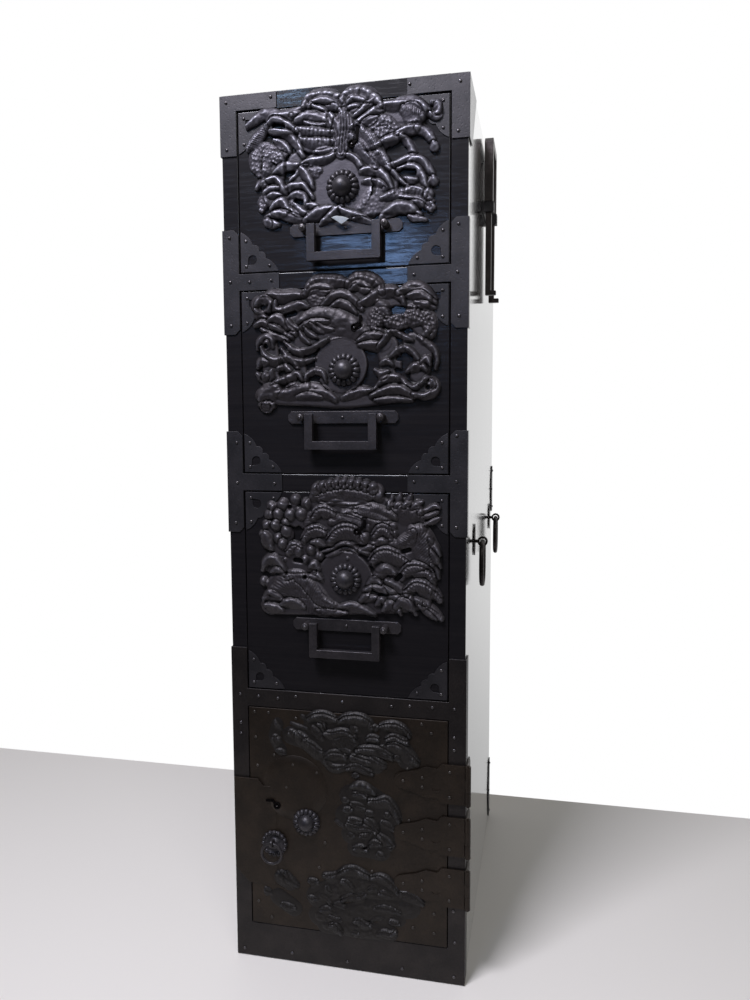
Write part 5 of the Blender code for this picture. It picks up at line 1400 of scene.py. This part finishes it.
inset = 0.0012
for number in (1, 2, 3):
    low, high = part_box(f"drawer_{number}_front")
    corners = [(low[0] + inset, low[2] + inset, 1, 1), (high[0] - inset, low[2] + inset, -1, 1),
               (low[0] + inset, high[2] - inset, 1, -1), (high[0] - inset, high[2] - inset, -1, -1)]
    irons = [corner_iron("corner", (x, z), right, up) for x, z, right, up in corners]
    dress(join(irons[0], irons[1:], f"drawer_{number}_corner_irons"), sheet_iron,
          f"drawer_{number}", "black_iron")
    spots = [(x + right * across, z + up * along) for x, z, right, up in corners
             for across, along in corner_nails]
    nails(f"drawer_{number}_corner_nails", f"drawer_{number}", corner_seat - 0.0010, spots)
print("corner irons: 12, with 36 nails")

# %% [markdown]
# The door is faced with one sheet. Low reliefs are driven up in it: a bird among pine clouds
# above, a pine in the middle and rocks with waves below. They are drawn on squared paper like
# the lock plates, and are lower and softer than those. A thin round plate lies at their left.

# %% Door sheet
paper_eye = (388.5, 698.7)
door_scale = 1006.6
sheet_thickness = 0.0020
sheet_low, sheet_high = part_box("door_panel")
sheet_seat = sheet_low[1] - 0.0003
sheet_face = sheet_seat - sheet_thickness
outline = [(sheet_low[0], sheet_low[2]), (sheet_high[0], sheet_low[2]), (sheet_high[0], sheet_high[2]),
           (sheet_low[0], sheet_high[2])]
sheet = cut_sheet("door_flat_sheet", outline, sheet_thickness, sheet_seat, edge=0.0006, segments=3)
# The door's iron is darker and browner as painted shade and painted floor reflection.
dress(sheet, door_iron, "door", "black_iron", "door_sheet")

bird_drawing = Relief((38, 254), (246, 344))
for width, height, points in (
        (8, 0.8, [(58, 320), (54, 302), (62, 286)]),
        (12, 1.0, [(76, 306), (96, 300), (112, 288)]),
        (15, 1.2, [(108, 322), (140, 320), (170, 324)]),
        (14, 1.0, [(120, 300), (160, 300), (200, 300)]),
        (11, 1.0, [(124, 280), (160, 278), (188, 276)]),
        (14, 1.0, [(206, 316), (218, 302), (228, 288)])):
    bird_drawing.sheet(width, height, points, 6)
for width, height, points in (
        (5.5, 3.8, [(121, 313), (131, 313), (141, 316), (149, 316), (156, 312), (161, 307)]),
        (4.6, 3.8, [(113, 325), (118, 324), (120, 318)]),
        (4.2, 3.0, [(157, 326), (159, 322), (164, 320)]),
        (4.6, 3.6, [(177, 309), (183, 312), (191, 310)]),
        (5.4, 3.8, [(202, 311), (212, 315), (220, 311), (228, 309)]),
        (7.5, 3.2, [(204, 302), (214, 303), (224, 298), (233, 290), (240, 283)]),
        (4.0, 3.0, [(213, 290), (218, 286)]),
        (3.6, 2.6, [(191, 297), (199, 301)]),
        (6.0, 3.4, [(141, 294), (150, 295), (157, 291)]),
        (6.5, 3.6, [(163, 293), (175, 296), (187, 296), (197, 293), (208, 287)]),
        (5.8, 3.4, [(121, 280), (130, 286), (140, 287), (148, 283)]),
        (6.8, 3.6, [(156, 285), (168, 282), (180, 279)]),
        (5.4, 3.0, [(181, 285), (190, 281), (199, 276)]),
        (5.2, 3.0, [(121, 277), (129, 269), (140, 268), (149, 270)]),
        (5.0, 3.4, [(150, 268), (161, 272), (172, 269), (183, 264)]),
        (3.4, 2.4, [(158, 260), (165, 260)]),
        (5.2, 3.0, [(74, 309), (82, 311)]),
        (6.2, 3.8, [(84, 309), (92, 304), (99, 302)]),
        (7.2, 3.2, [(94, 300), (104, 294), (112, 288), (117, 286)]),
        (1.8, 2.2, [(54, 324), (57, 318), (63, 313)]),
        (7.0, 2.6, [(52, 300), (60, 300)]),
        (3.0, 2.8, [(56, 284), (62, 284), (68, 281)]),
        (2.0, 2.0, [(90, 333), (96, 328)]),
        (2.0, 2.0, [(76, 322), (88, 318), (98, 316)]),
        (5.6, 4.2, [(100, 330), (108, 335), (119, 337), (128, 335), (137, 331)]),
        (6.0, 4.2, [(141, 330), (149, 335), (160, 337), (171, 336), (179, 331), (182, 326)]),
        (4.4, 3.4, [(183, 324), (191, 326)]),
        (5.6, 4.0, [(194, 327), (204, 330), (214, 330), (223, 326), (230, 318)])):
    bird_drawing.lobe(width, height, points)
for width, height, pitch, points in (
        (8.0, 2.4, 4.0, [(136, 304), (150, 304), (162, 304)]),
        (5.0, 2.6, 2.6, [(106, 320), (112, 312), (118, 306)])):
    bird_drawing.stroke(width, height, points, "scaly", pitch)

pine_drawing = Relief((124, 146), (226, 256))
for width, height, points in (
        (16, 1.0, [(156, 232), (176, 234), (196, 222)]),
        (16, 1.0, [(150, 206), (176, 208), (204, 206)]),
        (14, 1.0, [(156, 182), (176, 180), (198, 180)]),
        (12, 0.9, [(162, 164), (178, 164), (194, 162)])):
    pine_drawing.sheet(width, height, points, 6)
for width, height, points in (
        (5.0, 3.6, [(159, 235), (168, 237), (175, 233)]),
        (3.4, 2.6, [(144, 227), (152, 226)]),
        (6.0, 3.4, [(179, 227), (190, 229), (200, 232), (207, 227), (213, 218), (217, 206)]),
        (4.4, 2.8, [(155, 222), (165, 221), (173, 218)]),
        (3.6, 3.0, [(146, 214), (157, 215)]),
        (3.6, 2.8, [(175, 213), (184, 212)]),
        (3.4, 2.4, [(199, 213), (206, 211)]),
        (4.4, 3.0, [(152, 201), (160, 201), (169, 199)]),
        (5.4, 3.0, [(174, 203), (183, 199), (189, 191)]),
        (4.2, 2.8, [(194, 202), (203, 199), (210, 193)]),
        (4.4, 3.0, [(149, 194), (161, 191), (175, 192), (187, 187)]),
        (3.6, 2.6, [(152, 181), (159, 180)]),
        (3.8, 3.0, [(167, 181), (176, 182), (182, 186)]),
        (5.6, 3.2, [(191, 184), (200, 179), (207, 173), (206, 168)]),
        (4.6, 3.6, [(180, 170), (186, 174), (194, 172)]),
        (4.8, 3.6, [(159, 163), (168, 166), (176, 163)]),
        (4.2, 2.6, [(189, 160), (198, 157)]),
        (2.2, 2.0, [(134, 198), (146, 190)])):
    pine_drawing.lobe(width, height, points)
pine_drawing.stroke(5.4, 4.0, [(156, 246), (167, 249), (177, 246), (186, 240)], "beaded", 8.0)
pine_drawing.hole(0.8, [(171, 165), (177, 167)])

rocks_drawing = Relief((36, 40), (254, 142))
for width, height, points in (
        (11, 1.0, [(60, 112), (72, 106)]),
        (12, 0.9, [(56, 84), (76, 72)]),
        (16, 1.0, [(110, 92), (132, 104), (156, 118), (180, 112), (206, 106)]),
        (15, 0.9, [(112, 66), (150, 72), (190, 86), (230, 92)]),
        (12, 0.9, [(120, 54), (160, 54), (204, 54)]),
        (10, 0.9, [(196, 74), (216, 74)])):
    rocks_drawing.sheet(width, height, points, 6)
for width, height, points in (
        (13, 1.7, [(110, 92), (132, 104), (156, 118), (180, 112), (206, 106)]),
        (13, 1.6, [(112, 66), (150, 72), (190, 86), (230, 92)]),
        (10, 1.6, [(120, 54), (160, 54), (204, 54)])):
    rocks_drawing.stroke(width, height, points, "scaly", 8.5, cut=False, skirt=0.2)
for width, height, points in (
        (8.5, 2.8, [(56, 117), (64, 112), (72, 108)]),
        (5.0, 2.4, [(66, 119), (76, 108), (82, 103)]),
        (5.0, 2.2, [(36, 92), (45, 89)]),
        (4.4, 3.2, [(60, 75), (70, 74), (79, 72)]),
        (3.4, 3.2, [(97, 90), (109, 89)]),
        (4.4, 2.8, [(121, 107), (127, 100)]),
        (3.4, 2.4, [(112, 95), (122, 92), (126, 84)]),
        (5.2, 3.4, [(142, 117), (149, 116), (154, 111), (158, 105)]),
        (5.0, 3.2, [(142, 91), (150, 96), (159, 98), (167, 99), (174, 103)]),
        (3.4, 2.6, [(132, 84), (139, 85), (146, 81)]),
        (5.2, 2.8, [(179, 110), (185, 114), (190, 110)]),
        (4.4, 2.8, [(191, 107), (199, 108), (206, 104)]),
        (3.8, 3.4, [(205, 71), (212, 70), (218, 69)]),
        (2.4, 2.4, [(182, 67), (188, 73), (197, 75)]),
        (4.4, 2.8, [(114, 74), (122, 77), (128, 74)]),
        (4.4, 2.8, [(124, 66), (135, 63), (141, 64)]),
        (5.0, 3.8, [(159, 65), (166, 66), (173, 62), (180, 61)]),
        (6.2, 3.6, [(126, 54), (133, 55), (138, 50), (141, 46)]),
        (4.8, 3.6, [(189, 52), (198, 55), (206, 54), (213, 57)]),
        (4.2, 2.6, [(157, 49), (164, 49)]),
        (5.0, 3.2, [(98, 112), (110, 111)]),
        (5.4, 3.2, [(118, 121), (128, 122), (138, 125)]),
        (5.4, 3.2, [(216, 110), (228, 110), (238, 107), (247, 99)]),
        (5.6, 3.8, [(138, 126), (148, 133), (158, 135), (168, 132), (178, 127)]),
        (5.2, 3.6, [(182, 126), (192, 129), (202, 126), (210, 118), (215, 111)]),
        (4.4, 3.6, [(185, 86), (196, 88), (208, 87), (219, 83)])):
    rocks_drawing.lobe(width, height, points)


def door_place(x, z):
    """From the paper to the door's face, which is nearer to the camera and so looks larger."""
    return (camera_place[0] + (x - paper_eye[0]) / door_scale,
            camera_place[2] + (z - paper_eye[1]) / door_scale)


door_drawings = ((bird_drawing, "bird_and_clouds"), (pine_drawing, "pine"),
                 (rocks_drawing, "rocks_and_waves"))
for drawing, name in door_drawings:
    piece = forge(drawing, f"door_{name}", door_place(*drawing.low), door_place(*drawing.high),
                  sheet_face + 0.0010)
    dress(piece, door_relief_iron_painted_shade, "door", "black_iron", "door_sheet")
round_plate = turned("door_round_plate", [(0.043, 0), (0.043, 0.0005), (0.0425, 0.0009), (0.030, 0.0013)],
                     (door_place(80, 236)[0], sheet_face + 0.0002, door_place(80, 236)[1]), 96)
dress(round_plate, door_iron, "door", "black_iron", "door_sheet")
door_nail_places = [
    (27, 334), (46, 334), (83, 329), (246, 334), (258, 323), (53, 278), (78, 267), (104, 285),
    (110, 259), (30, 220), (69, 236), (28, 75), (46, 55), (230, 127), (182, 135), (234, 249),
    (220, 290), (228, 275), (120, 166), (30, 262), (28, 300), (112, 132), (235, 66), (262, 62),
    (262, 88), (230, 208), (236, 180)]
nails("door_nails", "door", sheet_face, [door_place(x, z) for x, z in door_nail_places], dark_nail_iron)
print("door sheet with", len(door_drawings), "reliefs and", len(door_nail_places), "nails")

# %% [markdown]
# The lock plate laps over the left stile, and its right edge is driven back to lie flush. It
# carries the keyhole, a rosette of sixteen beads and the staple that the ring pull hangs in.
# Three straps run in from the hinges; each has a crescent laid on it near its knuckle.

# %% Door lock and hinges
plate_low, plate_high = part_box("door_lock_plate")
lock_seat = sheet_face - 0.0003
left, foot, top = plate_low[0], plate_low[2], plate_high[2]
plate_width, cut_off = 0.057, 0.0185
right, step_down = left + plate_width, top - 0.009
outline = [(left, foot + cut_off), (left + cut_off, foot), (right, foot), (right, step_down),
           (left + 0.040, step_down), (left + 0.033, top), (left, top)]
lock_plate = cut_sheet("door_lock_sheet", outline, 0.0015, lock_seat, edge=0)
for point in lock_plate.data.vertices:
    if point.co.x > right - 0.001:
        point.co.y += 0.0013
dull_edges(lock_plate, 0.0004)
dress(lock_plate, door_iron, "door", "black_iron", "door_lock_plate")
keyhole("door_lock", "door", lock_seat + 0.0009, (-0.0918, 0.2134), (-0.0975, 0.2200),
        (-0.1057, 0.2195))
ring_low, ring_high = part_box("door_ring")
rosette_x = (ring_low[0] + ring_high[0]) / 2
rosette_z = ring_high[2] - 0.0021 - 0.0054
rosette_profile = [(0.0165, 0), (0.0165, 0.0012), (0.0150, 0.0026), (0.0126, 0.0030), (0.0112, 0.0018),
                   (0.0090, 0.0016), (0.0070, 0.0030), (0.0060, 0.0048), (0.0040, 0.0055)]
rosette = turned("rosette", rosette_profile, (rosette_x, lock_seat, rosette_z), 64)
bead_count, bead_circle, bead_seat = 16, 0.0148, lock_seat - 0.0006
bead_profile = [(0.0029, 0), (0.0028, 0.0018), (0.0020, 0.0034), (0.0008, 0.0040)]
beads = []
for number in range(bead_count):
    turn = 2 * math.pi * number / bead_count
    place = (rosette_x + bead_circle * math.cos(turn), bead_seat,
             rosette_z + bead_circle * math.sin(turn))
    beads.append(turned("bead", bead_profile, place, 12))
dress(join(rosette, beads, "door_rosette"), boss_iron, "door", "black_iron", "door_lock_plate")


def rounded(node, name):
    """A copy of a node of bent bar, smoothed all over."""
    piece = from_node(node, name, 0)
    edit(piece)
    bpy.ops.mesh.tris_convert_to_quads()
    bpy.ops.object.mode_set(mode="OBJECT")
    apply_modifier(piece, "SUBSURF", levels=1)
    smooth(piece, 80)
    return piece


dress(rounded("door_ring", "door_ring_pull"), bar_iron, "door_ring", "worn_iron", "door_ring")
ring_y = (ring_low[1] + ring_high[1]) / 2
ring_bar = (ring_high[1] - ring_low[1]) / 2
staple_wire, staple_gap = 0.0012, 0.0006
staple_radius = ring_bar + staple_gap + staple_wire
axis_z = ring_high[2] - ring_bar
deselect()
bpy.ops.mesh.primitive_torus_add(major_radius=staple_radius, minor_radius=staple_wire,
                                 major_segments=24, minor_segments=10,
                                 location=(rosette_x, ring_y, axis_z), rotation=(0, math.pi / 2, 0))
staple = bpy.context.object
staple.name = "door_staple"
edit(staple)
bpy.ops.transform.resize(value=(1.8, 1, 1))
bpy.ops.object.mode_set(mode="OBJECT")
bpy.ops.object.transform_apply(location=True, rotation=True)
smooth(staple, 80)
shank = turned("shank", [(0.0019, 0), (0.0019, lock_seat - ring_y - staple_radius)],
               (rosette_x, lock_seat, axis_z), 12)
dress(join(staple, [shank], "door_staple"), bar_iron, "door", "worn_iron", "door_lock_plate")
moon_x, moon_radius = 0.1150, 0.0058
for number in (1, 2, 3):
    node = f"hinge_strap_{number}"
    dress(from_node(node, f"strap_{number}", 0.0005), door_iron, "door", "black_iron", node)
    node = f"hinge_leaf_{number}"
    dress(from_node(node, f"side_leaf_{number}", 0.0004), door_iron, "case", "black_iron", node)
    low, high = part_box(f"hinge_strap_{number}")
    middle = (low[2] + high[2]) / 2 - 0.006
    crescent = (arc((moon_x, middle), moon_radius, 200, 140, 10)
                + arc((moon_x, middle + 0.0022), moon_radius, -32, -116, 10))
    strap_face = low[1] + 0.0038
    moon = cut_sheet(f"strap_moon_{number}", crescent, 0.0007, strap_face, edge=0.0002)
    dress(moon, door_iron, "door", "black_iron")
    spots = [(0.132, middle + 0.022), (0.132, middle - 0.010), (0.098, middle + 0.012),
             (0.098, middle), (0.074, middle + 0.006)]
    nails(f"strap_nails_{number}", "door", low[1] + 0.0037, spots, dark_nail_iron)
print("lock plate, rosette, ring pull and 3 hinges")

# %% [markdown]
# Both sides have a lifting handle for a carrying pole and two hanging rings. Two corner irons
# sit on each rear edge, each held by three nails. The left side mirrors the right one.

# %% Side fittings
rear_iron_depth, rear_iron_sheet = 0.030, 0.0012
rear_irons = ((0.054, 0.104), (0.594, 0.078))
for label, way in (("left", -1), ("right", 1)):
    node = f"pole_handle_{label}"
    dress(from_node(node, f"carrying_handle_{label}", 0.0014, 3), brown_iron, node, "worn_iron", node)
    node = f"handle_keeper_{label}"
    dress(from_node(node, f"handle_bridge_{label}", 0.0006), sheet_iron, "case", "black_iron", node)
    for place in ("front", "rear"):
        node = f"side_ring_{place}_{label}"
        dress(rounded(node, f"hanging_ring_{place}_{label}"), brown_iron, node, "worn_iron", node)
        node = f"ring_eye_{place}_{label}"
        dress(from_node(node, f"eye_plate_{place}_{label}", 0.0004), brown_iron, "case", "black_iron", node)
    seat = way * (half_width + 0.0003)
    for middle, tall in rear_irons:
        foot_z, top_z = max(0.0006, middle - tall / 2), middle + tall / 2
        shoulder, neck, tip, notch = (back_y - rear_iron_depth * share for share in (0.45, 0.62, 1, 0.86))
        outline = [(back_y, foot_z), (back_y, top_z), (shoulder, top_z), (neck, top_z - 0.006),
                   (tip, middle + 0.010), (notch, middle), (tip, middle - 0.010),
                   (neck, foot_z + 0.006), (shoulder, foot_z)]
        place = f"{label}_{round(middle * 1000)}"
        rear_iron = cut_sheet(f"rear_iron_{place}", outline, rear_iron_sheet, seat, label)
        dress(rear_iron, sheet_iron, "case", "black_iron")
        heads = [turned("head", nail_shape, (seat + way * 0.0011, y, z), 12, label)
                 for y, z in ((back_y - 0.006, foot_z + 0.008), (back_y - 0.006, top_z - 0.008),
                              (back_y - 0.020, middle))]
        dress(join(heads[0], heads[1:], f"rear_nails_{place}"), nail_iron, "case", "worn_iron")
print("side fittings on both sides")
bpy.data.objects.remove(master_nail)

# %% [markdown]
# Last, the view layer is brought up to date.

# %% Finish
bpy.context.view_layer.update()
